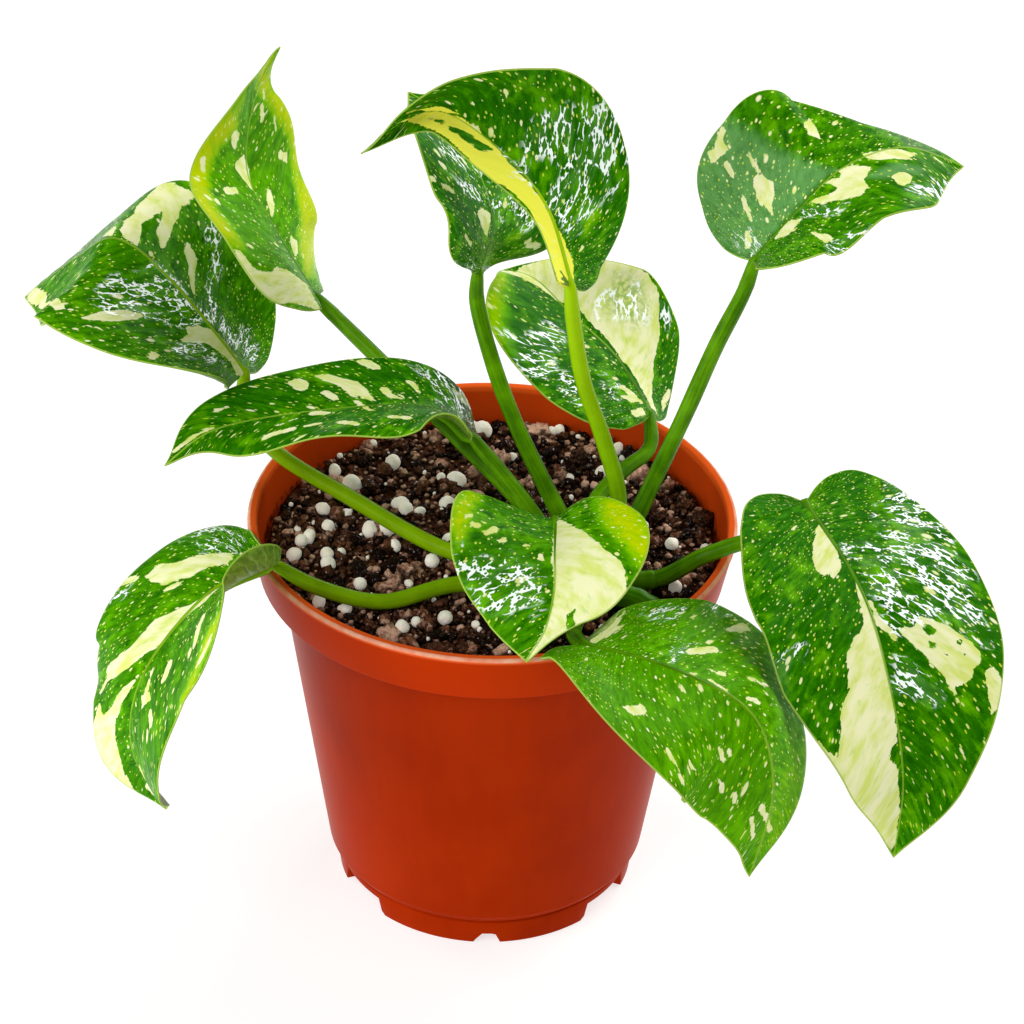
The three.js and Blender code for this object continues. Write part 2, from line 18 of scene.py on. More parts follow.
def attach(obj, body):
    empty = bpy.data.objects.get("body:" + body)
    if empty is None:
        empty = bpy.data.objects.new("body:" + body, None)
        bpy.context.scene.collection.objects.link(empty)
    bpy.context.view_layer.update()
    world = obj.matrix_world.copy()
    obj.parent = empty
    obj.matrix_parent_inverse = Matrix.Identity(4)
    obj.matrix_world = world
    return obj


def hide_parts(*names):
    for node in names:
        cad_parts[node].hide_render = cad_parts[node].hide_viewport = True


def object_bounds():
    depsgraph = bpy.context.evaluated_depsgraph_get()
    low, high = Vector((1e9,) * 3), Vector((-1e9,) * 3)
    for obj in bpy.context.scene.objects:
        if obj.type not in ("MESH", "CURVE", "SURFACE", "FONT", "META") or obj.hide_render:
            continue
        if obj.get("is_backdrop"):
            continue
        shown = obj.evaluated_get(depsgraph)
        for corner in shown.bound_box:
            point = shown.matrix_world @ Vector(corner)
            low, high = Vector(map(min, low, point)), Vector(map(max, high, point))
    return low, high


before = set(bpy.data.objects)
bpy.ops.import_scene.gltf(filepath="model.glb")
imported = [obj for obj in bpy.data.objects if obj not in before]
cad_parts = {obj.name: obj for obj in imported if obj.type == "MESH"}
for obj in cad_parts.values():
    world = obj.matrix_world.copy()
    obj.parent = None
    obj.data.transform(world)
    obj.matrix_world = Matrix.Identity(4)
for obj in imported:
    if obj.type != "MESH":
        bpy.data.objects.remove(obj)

log = logging.getLogger("potted_anubias")
CAD_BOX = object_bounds()
MM = 0.001
BODY = "root"

Triple = tuple[float, float, float]
Colour = tuple[float, float, float, float]


# Numbers and splines


def srgb(red: float, green: float, blue: float) -> Colour:
    """A display colour of 0 to 255 as the linear colour that a shader takes."""
    shares = [value / 255 for value in (red, green, blue)]
    return (*[v / 12.92 if v <= 0.04045 else ((v + 0.055) / 1.055) ** 2.4 for v in shares], 1.0)


def knots(rows: np.ndarray, at: np.ndarray) -> tuple[list[np.ndarray], np.ndarray]:
    """The four rows round each place from 0 to 1, and the share of the way between the middle two."""
    place = at * (len(rows) - 3)
    index = np.minimum(place.astype(int), len(rows) - 4)
    return [rows[index + k] for k in range(4)], place - index


def bridge(
    b: np.ndarray, c: np.ndarray, start: np.ndarray, end: np.ndarray, share: np.ndarray
) -> np.ndarray:
    """A cubic from b to c with a slope at each end."""
    cube = (2 * b - 2 * c + start + end) * share**3
    return cube + (-3 * b + 3 * c - 2 * start - end) * share**2 + start * share + b


def spline(values: Sequence, at: np.ndarray) -> np.ndarray:
    """A uniform Catmull-Rom spline with doubled end points, read at places from 0 to 1."""
    given = np.asarray(values, float)
    rows = np.concatenate([given[:1], given, given[-1:]])
    (a, b, c, d), share = knots(rows, np.clip(at, 0, 1))
    return bridge(b, c, (c - a) / 2, (d - b) / 2, share[..., None] if given.ndim > 1 else share)


def unit(vectors: np.ndarray) -> np.ndarray:
    """Vectors brought to length one."""
    return vectors / np.maximum(np.linalg.norm(vectors, axis=-1, keepdims=True), 1e-12)


def hill(distance: np.ndarray, low: float, high: float) -> np.ndarray:
    """A smooth step from 0 at low to 1 at high."""
    share = np.clip((distance - low) / (high - low), 0, 1)
    return share * share * (3 - 2 * share)


class Track:
    """A smooth line through points, read by the distance along it."""

    def __init__(self, points: Sequence[Triple], centripetal: bool = False, steps: int = 400) -> None:
        """Samples the line.

        Args:
            points: The points that the line passes.
            centripetal: True for a stalk, whose points are unevenly spaced.
            steps: Samples on the whole line.
        """
        given = np.asarray(points, float)
        rows = np.vstack([2 * given[0] - given[1], given, 2 * given[-1] - given[-2]])
        (a, b, c, d), share = knots(rows, np.linspace(0, 1, steps + 1))
        start, end = (c - a) / 2, (d - b) / 2
        if centripetal:
            pairs = (a, b), (b, c), (c, d)
            ab, bc, cd = (np.sqrt(np.linalg.norm(y - x, axis=1))[:, None] for x, y in pairs)
            start = ((b - a) / ab - (c - a) / (ab + bc) + (c - b) / bc) * bc
            end = ((c - b) / bc - (d - b) / (bc + cd) + (d - c) / cd) * bc
        self.points = bridge(b, c, start, end, share[:, None])
        gaps = np.linalg.norm(np.diff(self.points, axis=0), axis=1)
        self.reach = np.r_[0, np.cumsum(gaps)]
        self.length = float(self.reach[-1])
        self.tangents = unit(np.gradient(self.points, self.reach, axis=0))

    def at(self, distance: np.ndarray) -> np.ndarray:
        """The points at these distances along the line."""
        return self._read(self.points, distance)

    def along(self, distance: np.ndarray) -> np.ndarray:
        """The directions at these distances along the line."""
        return unit(self._read(self.tangents, distance))

    def _read(self, rows: np.ndarray, distance: np.ndarray) -> np.ndarray:
        """Rows of numbers read at distances along the line."""
        return np.stack([np.interp(distance, self.reach, rows[:, k]) for k in range(3)], -1)


# Node trees as expressions


def maths(operation: str, turned: bool = False) -> Callable[["Wire", "Wire | float"], "Wire"]:
    """A method that adds one Math node on a wire and another value, which comes first if turned."""

    def method(self: "Wire", other: "Wire | float") -> "Wire":
        """The Math node's result."""
        return self.graph.math(operation, *((other, self) if turned else (self, other)))

    return method


class Wire:
    """One node socket that can be written in a sum; each sum adds its nodes."""

    __add__ = __radd__ = maths("ADD")
    __sub__, __rsub__ = maths("SUBTRACT"), maths("SUBTRACT", turned=True)
    __mul__ = __rmul__ = maths("MULTIPLY")
    __pow__ = maths("POWER")
    most = maths("MAXIMUM")

    def __init__(self, graph: "Graph", socket: bpy.types.NodeSocket) -> None:
        """Holds the socket and the tree that it is in."""
        self.graph = graph
        self.socket = socket

    def sine(self) -> "Wire":
        """The sine of an angle in radians."""
        return self.graph.math("SINE", self)

    def clamped(self) -> "Wire":
        """The value held between 0 and 1."""
        return self.graph.math("ADD", self, 0.0, clamp=True)

    def step(self, low: float, high: float) -> "Wire":
        """A smooth step from 0 at low to 1 at high, which may be the smaller of the two."""
        span = {"From Min": low, "From Max": high, "To Min": 0.0, "To Max": 1.0}
        node = self.graph.node("ShaderNodeMapRange", interpolation_type="SMOOTHSTEP", Value=self, **span)
        return node["Result"]

    def scaled(self, *by: float) -> "Wire":
        """A vector times three numbers."""
        return self.graph.vector("MULTIPLY", self, by)

    def moved(self, *by: float) -> "Wire":
        """A vector plus three numbers."""
        return self.graph.vector("ADD", self, by)

    def split(self) -> tuple["Wire", "Wire", "Wire"]:
        """The three parts of a vector or colour."""
        node = self.graph.node("ShaderNodeSeparateXYZ", Vector=self)
        return node["X"], node["Y"], node["Z"]


class Made:
    """A node that has been made, whose outputs are read by number or name."""

    def __init__(self, graph: "Graph", node: bpy.types.Node) -> None:
        """Holds the node."""
        self.graph = graph
        self.node = node

    def __getitem__(self, key: str | int) -> Wire:
        """One output as a wire."""
        return Wire(self.graph, Graph.socket(self.node.outputs, key))


class Graph:
    """A shader or geometry tree that is written as expressions."""

    def __init__(self, tree: bpy.types.NodeTree) -> None:
        """Holds the tree."""
        self.tree = tree

    @staticmethod
    def socket(sockets: Iterable, key: str | int) -> bpy.types.NodeSocket:
        """A socket by its number, identifier or name, where _ may stand for a space."""
        found = list(sockets)
        if isinstance(key, int):
            return found[key]
        exact = [s for s in found if s.identifier == key]
        named = [s for s in found if s.name in (key, key.replace("_", " ")) and s.enabled]
        return (exact or named)[0]

    def node(self, kind: str, *given: object, **named: object) -> Made:
        """Makes one node.

        Args:
            kind: The node's type.
            given: Numbers, colours, wires or lists of wires for its first sockets.
            named: Its settings, in lower case, and values for its other sockets, in upper case.

        Returns:
            The node, whose outputs are read by number or name.
        """
        made = self.tree.nodes.new(kind)
        for name, value in named.items():
            if name[0].islower():
                setattr(made, name, value)
        for key, value in [*enumerate(given), *named.items()]:
            if isinstance(key, int) or key[0].isupper():
                self._feed(self.socket(made.inputs, key), value)
        return Made(self, made)

    def _feed(self, socket: bpy.types.NodeSocket, value: object) -> None:
        """Links a wire, or several, or sets a value."""
        if not isinstance(value, (Wire, list)):
            socket.default_value = value
            return
        for wire in value if isinstance(value, list) else [value]:
            self.tree.links.new(wire.socket, socket)

    def math(self, operation: str, *values: Wire | float, clamp: bool = False) -> Wire:
        """A Math node on these values."""
        return self.node("ShaderNodeMath", *values, operation=operation, use_clamp=clamp)["Value"]

    def vector(self, operation: str, *values: Wire | Triple, **named: Wire) -> Wire:
        """A Vector Math node on these values."""
        return self.node("ShaderNodeVectorMath", *values, operation=operation, **named)["Vector"]

    def point(self, x: Wire | float, y: Wire | float, z: Wire | float) -> Wire:
        """A vector out of its three parts."""
        return self.node("ShaderNodeCombineXYZ", x, y, z)["Vector"]


class Shader(Graph):
    """A material that is written as expressions."""

    def __init__(self, name: str) -> None:
        """Makes an empty node material."""
        self.material = bpy.data.materials.new(name)
        self.material.use_nodes = True
        super().__init__(self.material.node_tree)
        self.tree.nodes.clear()

    def read(self, name: str, output: str = "Fac") -> Wire:
        """What the mesh carries under a name: Fac for a number, Vector for a place."""
        return self.node("ShaderNodeAttribute", attribute_type="GEOMETRY", attribute_name=name)[output]

    def places(self) -> Wire:
        """Object coordinates in millimetres."""
        return self.node("ShaderNodeTexCoord")["Object"].scaled(1 / MM, 1 / MM, 1 / MM)

    def noise(self, vector: Wire, scale: float, detail: float = 3.0, rough: float = 0.5) -> Wire:
        """Noise from 0 to 1 with this many features a unit."""
        values = {"Vector": vector, "Scale": scale, "Detail": detail, "Roughness": rough}
        return self.node("ShaderNodeTexNoise", **values)["Fac"]

    def cells(self, vector: Wire, scale: float, feature: str = "F1", flat: bool = False) -> Made:
        """Voronoi cells with this many to a unit, in space or on the flat."""
        settings = {"feature": feature, "voronoi_dimensions": "2D" if flat else "3D"}
        return self.node("ShaderNodeTexVoronoi", **settings, Vector=vector, Scale=scale)

    def mix(self, share: Wire | float, first: Wire | Colour, second: Wire | Colour) -> Wire:
        """A colour between two colours."""
        values = {"Factor_Float": share, "A_Color": first, "B_Color": second}
        return self.node("ShaderNodeMix", data_type="RGBA", **values)["Result_Color"]

    def finish(
        self, base: Wire, rough: Wire | float, height: Wire | None = None, **values: Wire | float | Colour
    ) -> bpy.types.Material:
        """Ends the material in one Principled shader.

        A faint glow shows but isn't sampled as a lamp, which would make the render very slow.

        Args:
            base: The colour.
            rough: The roughness.
            height: The relief in millimetres.
            values: Values for other sockets.

        Returns:
            The material.
        """
        if height is not None:
            bump = self.node("ShaderNodeBump", Height=height, Strength=1.0, Distance=MM)
            values["Normal"] = bump["Normal"]
        surface = self.node("ShaderNodeBsdfPrincipled", Base_Color=base, Roughness=rough, **values)["BSDF"]
        self.node("ShaderNodeOutputMaterial", Surface=surface)
        self.material.cycles.emission_sampling = "NONE"
        return self.material


class Rule(Graph):
    """A Geometry Nodes tree with named inputs, which makes a plain mesh from a base mesh."""

    KINDS = {int: "NodeSocketInt", float: "NodeSocketFloat"}

    def __init__(self, name: str, **inputs: float) -> None:
        """Makes the tree, with an input for each number beside the geometry and the material."""
        super().__init__(bpy.data.node_groups.new(name, "GeometryNodeTree"))
        face = self.tree.interface
        face.new_socket(name="Geometry", in_out="INPUT", socket_type="NodeSocketGeometry")
        self.keys = {}
        for label, value in inputs.items():
            socket = face.new_socket(name=label, in_out="INPUT", socket_type=self.KINDS[type(value)])
            socket.default_value = value
            self.keys[label] = socket.identifier
        socket = face.new_socket(name="Material", in_out="INPUT", socket_type="NodeSocketMaterial")
        self.keys["Material"] = socket.identifier
        face.new_socket(name="Geometry", in_out="OUTPUT", socket_type="NodeSocketGeometry")
        self.given = self.node("NodeGroupInput")

    def geo(self, kind: str, *given: object, **named: object) -> Wire:
        """The first output of a new geometry node."""
        return self.node("GeometryNode" + kind, *given, **named)[0]

    def close(self, geometry: Wire) -> None:
        """Ends the tree in Realize Instances and Set Material."""
        real = self.geo("RealizeInstances", geometry)
        self.node("NodeGroupOutput", self.geo("SetMaterial", real, Material=self.given["Material"]))

    def store(
        self, geometry: Wire, name: str, value: Wire, kind: str = "FLOAT", domain: str = "POINT"
    ) -> Wire:
        """Keeps a value on the geometry under a name that a material reads."""
        settings = {"data_type": kind, "domain": domain}
        return self.geo("StoreNamedAttribute", geometry, **settings, Name=name, Value=value)

    def read(self, name: str) -> Wire:
        """A number that the base mesh carries."""
        return self.node("GeometryNodeInputNamedAttribute", data_type="FLOAT", Name=name)["Attribute"]

    def random(self, low: float, high: float, seed: int | Wire) -> Wire:
        """A number from low to high for each element."""
        values = {"Min_001": low, "Max_001": high, "Seed": seed}
        return self.node("FunctionNodeRandomValue", data_type="FLOAT", **values)["Value_001"]

    def over(self, value: Wire, limit: Wire | float) -> Wire:
        """Where a value is over a limit."""
        return self.node("FunctionNodeCompare", operation="GREATER_THAN", A=value, B=limit)["Result"]

    def smooth(self, geometry: Wire, domain: str = "FACE", **named: object) -> Wire:
        """Geometry with its faces or edges shaded smooth."""
        return self.geo("SetShadeSmooth", geometry, domain=domain, **named)

    def circle(self, resolution: Wire, radius: Wire | float) -> Wire:
        """A circle as a curve."""
        return self.geo("CurvePrimitiveCircle", Resolution=resolution, Radius=radius)

    def run(self, base: bpy.types.Object, values: dict[str, object]) -> bpy.types.Mesh:
        """The mesh that the tree makes, with these inputs, of a base object, which is then removed."""
        modifier = base.modifiers.new(self.tree.name, "NODES")
        modifier.node_group = self.tree
        for label, value in values.items():
            modifier[self.keys[label]] = value
        bpy.context.view_layer.update()
        ready = base.evaluated_get(bpy.context.evaluated_depsgraph_get())
        mesh = bpy.data.meshes.new_from_object(ready)
        base.modifiers.remove(modifier)
        bpy.data.objects.remove(base)
        return mesh


# Meshes and pieces


def place(name: str, mesh: bpy.types.Mesh) -> bpy.types.Object:
    """A new object at the origin that shows a mesh."""
    thing = bpy.data.objects.new(name, mesh)
    bpy.context.scene.collection.objects.link(thing)
    return thing


def mesh_of(name: str, points: np.ndarray, faces: Sequence = (), edges: Sequence = ()) -> bpy.types.Mesh:
    """A smooth mesh.

    Args:
        name: The mesh's name.
        points: Its points in millimetres.
        faces: The points of each face, anticlockwise from outside.
        edges: The points of each loose edge.

    Returns:
        The mesh, in metres.
    """
    mesh = bpy.data.meshes.new(name)
    mesh.from_pydata((np.asarray(points) * MM).tolist(), list(edges), list(faces))
    mesh.shade_smooth()
    mesh.update()
    return mesh


def line_of(name: str, points: np.ndarray, **marks: np.ndarray) -> bpy.types.Object:
    """An object that is a line through points, with a mark of each kind for each point."""
    thing = place(name, mesh_of(name, points, edges=[(k, k + 1) for k in range(len(points) - 1)]))
    for key, values in marks.items():
        carry(thing.data, key, values)
    return thing


def carry(mesh: bpy.types.Mesh, name: str, values: np.ndarray) -> None:
    """Writes a number or a vector for each point of a mesh as an attribute."""
    values = np.asarray(values, np.float32)
    kind, key = ("FLOAT_VECTOR", "vector") if values.ndim > 1 else ("FLOAT", "value")
    made = mesh.attributes.new(name, kind, "POINT")
    made.data.foreach_set(key, values.ravel())


def join(name: str, meshes: Sequence[bpy.types.Mesh]) -> bpy.types.Object:
    """One object out of several meshes, each with its own materials and attributes."""
    parts = [place(f"{name}_{k}", mesh) for k, mesh in enumerate(meshes)]
    with bpy.context.temp_override(active_object=parts[0], selected_editable_objects=parts):
        bpy.ops.object.join()
    parts[0].name = name
    parts[0].data.name = name
    return parts[0]


def settle(piece: bpy.types.Object, slot: str, *nodes: str) -> None:
    """Fixes a finished piece to the body, in the place of its CAD nodes."""
    if nodes:
        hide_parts(*nodes)
    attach(piece, BODY)
    count = sum(len(face.vertices) - 2 for face in piece.data.polygons)
    log.info("%s: %d triangles", piece.name, count)


def single(corners: list[int]) -> list[int]:
    """The corners of a face, each once."""
    return [c for i, c in enumerate(corners) if c not in corners[:i]]


def turned(profile: Iterable[Sequence[float]], sides: int) -> tuple[np.ndarray, list[list[int]]]:
    """A solid turned round the upright axis.

    Args:
        profile: Radius and height from the bottom pole, round the outside, to the top pole.
        sides: Faces round it.

    Returns:
        Its points and faces, with one point at each pole.
    """
    angles = np.linspace(0, 2 * math.pi, sides, endpoint=False)
    points, rings = [], []
    for radius, height in profile:
        start = len(points)
        if radius < 1e-9:
            points.append((0, 0, height))
            rings.append([start] * sides)
        else:
            points.extend((radius * math.cos(a), radius * math.sin(a), height) for a in angles)
            rings.append(list(range(start, start + sides)))
    faces = []
    for low, high in zip(rings, rings[1:]):
        for k in range(sides):
            n = (k + 1) % sides
            faces.append(single([low[k], low[n], high[n], high[k]]))
    return np.array(points), faces


# Finishes


@dataclass(frozen=True)
class LeafFace:
    """The glossy upper face of a blade: green, freckled, marbled cream and yellow, with nets of painted
    highlight and painted sheen.
    """

    dark: Colour = srgb(18, 88, 0)
    green: Colour = srgb(58, 144, 0)
    light: Colour = srgb(114, 196, 2)
    lime: Colour = srgb(196, 216, 0)
    cream: Colour = srgb(252, 252, 200)
    shade: Colour = srgb(222, 236, 112)
    butter: Colour = srgb(255, 252, 84)
    veil: Colour = srgb(158, 196, 92)
    fleck: Colour = srgb(214, 234, 62)
    margin: Colour = srgb(176, 204, 84)
    midrib: Colour = srgb(146, 192, 52)
    # Painted highlight of the nets, painted sheen round them, and painted sheen where the sheen attribute
    # is.
    shine: Colour = srgb(244, 250, 248)
    haze: Colour = srgb(150, 212, 116)
    satin: Colour = srgb(112, 170, 98)
    unlit: Colour = (0.0, 0.0, 0.0, 1.0)
    glint: Colour = (0.26, 0.28, 0.28, 1.0)

    @staticmethod
    def _dots(s: Shader, vector: Wire, scale: float, share: float, low: float, high: float) -> Wire:
        """Dots in a share of the cells, with radii from low to high of a cell."""
        cell = s.cells(vector, scale, flat=True)
        there, size, _ = cell["Color"].split()
        radius = size * (high - low) + low
        return (radius - cell["Distance"]).step(0.0, 0.07) * (share - there).step(0.0, 0.01)

    @staticmethod
    def _net(s: Shader, vein: Wire) -> tuple[Wire, Wire]:
        """The net of painted highlight in the wet zones and the painted sheen round it."""
        wet = s.read("wet")
        streaky = vein.scaled(1.0, 0.36, 1.0)
        bent = s.vector("ADD", streaky, s.noise(streaky, 0.9, 3) * 1.1)
        wall = s.cells(bent, 0.74, "DISTANCE_TO_EDGE", flat=True)["Distance"]
        thick = s.noise(streaky.moved(5, 2, 0), 0.42, 3).step(0.39, 0.7) * 0.3
        lines = (thick - wall).step(0.0, 0.05)
        hole = s.cells(vein.scaled(1.0, 0.6, 1.0), 1.5, flat=True)["Distance"].step(0.34, 0.24)
        zone = (wet + (s.noise(streaky, 0.3, 2) - 0.5) * 7).step(-1.6, 0.8)
        haze = zone * s.noise(streaky.moved(1, 8, 0), 0.5, 3).step(0.4, 0.7)
        return lines * (1 - hole) * zone, haze

    def _greens(self, s: Shader, flat: Wire, vein: Wire, streaky: Wire) -> tuple[Wire, Wire]:
        """The mottled green with its ripe yellow zones, side veins and sheen, and the veins' relief."""
        mottle = s.noise(streaky, 0.8, 4, 0.6) * 0.72 + s.noise(flat, 1.9, 3, 0.7) * 0.28
        base = s.mix(mottle.step(0.26, 0.74), self.dark, self.green)
        base = s.mix(((mottle * 0.6 + s.noise(flat, 0.16, 2) - 0.82) * 3).clamped(), base, self.light)
        ripe = s.read("ripe")
        ripe = ripe + (mottle - 0.5) * 0.8 * (ripe * 2.0 + 0.5)
        base = s.mix((ripe * 2).clamped(), base, self.light)
        base = s.mix((ripe * 1.5 - 0.5).clamped(), base, self.lime)
        across, _, _ = vein.split()
        veins = ((across + s.noise(vein, 0.11, 2) * 5.0) * 1.7).sine()
        fresh = (1 - ripe * 1.4).clamped()
        base = s.mix(veins.step(0.72, 1.0) * mottle.step(0.3, 0.6) * fresh * 0.4, base, self.dark)
        # Painted sheen: a soft reflection painted as pale grey-green where the sheen attribute is.
        sheen = (s.read("sheen") * 0.4).clamped() * (mottle * 1.6 - 0.1)
        return s.mix(sheen.clamped(), base, self.satin), veins * -0.022

    def _marbled(self, s: Shader, base: Wire, flat: Wire, vein: Wire, streaky: Wire) -> tuple[Wire, Wire]:
        """The green with its freckles, yellow streaks and cream patches, and where the cream is."""
        jag = (s.noise(streaky, 0.62, 4, 0.62) - 0.5) * 2.6
        patch = (s.read("cream") + jag).step(-0.07, 0.1)
        golden = (s.read("butter") + jag).step(-0.12, 0.16)
        outside = 1 - (s.read("island") + jag).step(-0.1, 0.1)
        fine = self._dots(s, vein.scaled(1.0, 0.6, 1.0), 1.0, 0.42, 0.1, 0.26)
        middle = self._dots(s, vein.scaled(1.0, 0.5, 1.0).moved(9, 4, 0), 0.6, 0.22, 0.08, 0.22)
        large = self._dots(s, vein.scaled(1.0, 0.45, 1.0).moved(3, 7, 0), 0.26, 0.16, 0.08, 0.2)
        tone = s.noise(flat, 0.35, 2).step(0.4, 0.6)
        base = s.mix(fine * 0.85, base, s.mix(tone * 0.4, self.fleck, self.cream))
        base = s.mix(golden * outside, base, self.butter)
        pale = s.mix(s.noise(streaky, 0.5, 4).step(0.36, 0.7) * 0.9, self.cream, self.shade)
        pale = s.mix(s.noise(streaky, 1.1, 4).step(0.55, 0.8) * 0.3, pale, self.light)
        film = (s.read("veil") * 0.2).clamped() * s.noise(flat, 0.7, 4, 0.6).step(0.4, 0.56)
        pale = s.mix(film * 0.8, pale, self.veil)
        marks = middle.most(large).most(patch) * outside
        return s.mix(marks, base, pale), marks

    def build(self) -> bpy.types.Material:
        """Makes the material, which reads the blade's own attributes."""
        s = Shader("leaf_face")
        flat, vein = s.read("flat", "Vector"), s.read("vein", "Vector")
        streaky = vein.scaled(1.0, 0.34, 1.0)
        base, ribs = self._greens(s, flat, vein, streaky)
        base, marks = self._marbled(s, base, flat, vein, streaky)
        base = s.mix(s.read("rib").step(0.95, 0.4) * 0.85, base, self.midrib)
        base = s.mix(s.read("edge").step(0.42, 0.12) * 0.85, base, self.margin)
        net, haze = self._net(s, vein)
        # Painted sheen round the wet zones, then the net of painted highlight in near-white.
        base = s.mix(haze * 0.16, base, self.haze)
        base = s.mix(net * 0.92, base, self.shine)
        quilt = s.noise(vein.scaled(1.0, 0.5, 1.0), 1.15, 2, 0.55) * 0.08
        pores = s.noise(flat, 2.6, 2) * 0.014
        coat = {"Coat_Weight": net * 0.5 + haze * 0.1 + 0.008, "Coat_Roughness": 0.06, "Coat_IOR": 1.6}
        return s.finish(
            base,
            0.17 + s.noise(flat, 0.5, 3) * 0.1 + marks * 0.05,
            (ribs + quilt + pores) * (1 - marks * 0.45) + net * 0.03,
            Specular_IOR_Level=0.006,
            # The net of painted highlight also glows faintly.
            Emission_Color=s.mix(net, self.unlit, self.glint),
            Emission_Strength=1.0,
            **coat,
        )


@dataclass(frozen=True)
class LeafBack:
    """The dull pale underside of a blade, with its side veins standing out."""

    deep: Colour = srgb(62, 108, 8)
    pale: Colour = srgb(118, 160, 34)
    cream: Colour = srgb(226, 230, 150)
    vein: Colour = srgb(142, 178, 60)

    def build(self) -> bpy.types.Material:
        """Makes the material, which reads the blade's own attributes."""
        s = Shader("leaf_back")
        flat, vein = s.read("flat", "Vector"), s.read("vein", "Vector")
        streaky = vein.scaled(1.0, 0.34, 1.0)
        base = s.mix(s.noise(streaky, 0.7, 4, 0.6).step(0.25, 0.75), self.deep, self.pale)
        jag = (s.noise(streaky, 0.62, 4, 0.62) - 0.5) * 3.6
        base = s.mix((s.read("cream") + jag).step(-0.5, 0.5) * 0.75, base, self.cream)
        across, _, _ = vein.split()
        ridge = ((across + s.noise(vein, 0.11, 2) * 5.0) * 1.7).sine().step(0.75, 1.0)
        base = s.mix(ridge * 0.35, base, self.vein)
        base = s.mix(s.read("rib").step(1.2, 0.5) * 0.7, base, self.vein)
        base = s.mix(s.read("edge").step(0.5, 0.1), base, self.vein)
        rough = 0.38 + s.noise(flat, 0.8, 2) * 0.15
        return s.finish(base, rough, ridge * 0.05 + s.noise(flat, 1.8, 3) * 0.05, Specular_IOR_Level=0.2)


@dataclass(frozen=True)
class StalkSkin:
    """The smooth satin skin of a leaf stalk, faintly streaked along its length, with painted shade towards
    its outline.
    """

    deep: Colour = srgb(48, 102, 0)
    green: Colour = srgb(90, 162, 2)
    # Painted shade at the stalk's outline.
    shady: Colour = srgb(26, 70, 0)
    lime: Colour = srgb(162, 206, 4)
    foot: Colour = srgb(76, 112, 12)

    def build(self) -> bpy.types.Material:
        """Makes the material, which reads the stalk's own attributes."""
        s = Shader("stalk_skin")
        along = s.read("along")
        x, y, _ = s.read("around", "Vector").split()
        streak = s.noise(s.point(x * 2.6, y * 2.6, along * 0.05), 1.3, 4, 0.55)
        at = s.places()
        blotch = s.noise(at, 0.16, 3)
        base = s.mix((streak * 0.5 + blotch * 0.5).step(0.3, 0.72), self.deep, self.green)
        ripe = s.read("ripe") + (blotch - 0.5) * 0.3 + (streak - 0.5) * 0.2
        base = s.mix(ripe.clamped(), base, self.lime)
        base = s.mix(along.step(15.0, 0.0) * 0.5, base, self.foot)
        speck = s.cells(at, 1.4)["Distance"].step(0.16, 0.08)
        base = s.mix(speck * 0.2, base, self.lime)
        # Painted shade: the stalk darkens where its surface turns away, towards its outline.
        side = s.node("ShaderNodeLayerWeight", Blend=0.4)["Facing"]
        base = s.mix(side.step(0.3, 1.0) * 0.6, base, self.shady)
        height = streak * 0.05 + s.noise(at, 1.5, 3) * 0.02
        return s.finish(base, 0.2 + blotch * 0.12, height, Specular_IOR_Level=0.06)


@dataclass(frozen=True)
class PotPlastic:
    """Satin moulded plastic, rubbed and dusty here and there, with splashes of peat inside; its rim top and
    inside painted lighter and a painted highlight on the rim's edge.
    """

    clay: Colour = srgb(172, 45, 0)
    deep: Colour = srgb(160, 39, 0)
    collar: Colour = srgb(192, 52, 0)
    # Painted light: a lighter orange for the rim's top and the inside wall, and a pale painted highlight for
    # the rim's outer edge.
    lip: Colour = srgb(250, 100, 34)
    shine: Colour = srgb(255, 226, 196)
    dust: Colour = srgb(196, 116, 84)
    peat: Colour = srgb(54, 28, 14)

    def build(self) -> bpy.types.Material:
        """Makes the material on object coordinates."""
        s = Shader("pot_plastic")
        at = s.places()
        x, y, z = at.split()
        cloud = s.noise(at, 0.05, 3)
        flow = s.noise(at.scaled(1.0, 1.0, 0.06), 0.35, 4)
        base = s.mix((cloud * 0.7 + flow * 0.3).step(0.3, 0.7), self.deep, self.clay)
        base = s.mix(z.step(91.3, 92.0) * 0.8, base, self.collar)
        # Painted light: the rim's top is painted a lighter orange.
        base = s.mix(z.step(103.0, 104.0) * 0.75, base, self.lip)
        scuff = s.noise(at.scaled(1.0, 1.0, 5.0), 0.16, 5, 0.7).step(0.66, 0.82)
        base = s.mix(scuff * 0.06, base, self.dust)
        reach = (x * x + y * y) ** 0.5
        # Painted highlight: a pale broken line along the rim's outer top edge.
        painted_rim_highlight = (s.noise(at, 0.3, 3) * 1.4 - 0.1) * z.step(103.8, 104.3) * reach.step(59.0, 59.4)
        base = s.mix(painted_rim_highlight.clamped() * 0.7, base, self.shine)
        inside = (reach - (z - 93.0) * 0.18 - 56.8).step(0.3, -0.3) * z.step(91.8, 92.6)
        # Painted light: the inside wall is painted lighter.
        base = s.mix(inside * 0.28, base, self.lip)
        splash = s.noise(at, 0.55, 5, 0.65)
        smear = inside * (z.step(98.5, 94.2) * 0.6 + splash - 0.98).step(0.0, 0.25)
        base = s.mix(smear * 0.85, base, self.peat)
        grain = s.noise(at, 4.0, 3, 0.6)
        height = grain * 0.01 + flow * 0.02 + smear * 0.1 * splash
        rough = 0.24 + grain * 0.06 + scuff * 0.2 + smear * 0.3 + cloud * 0.08
        return s.finish(base, rough, height, Specular_IOR_Level=0.01)


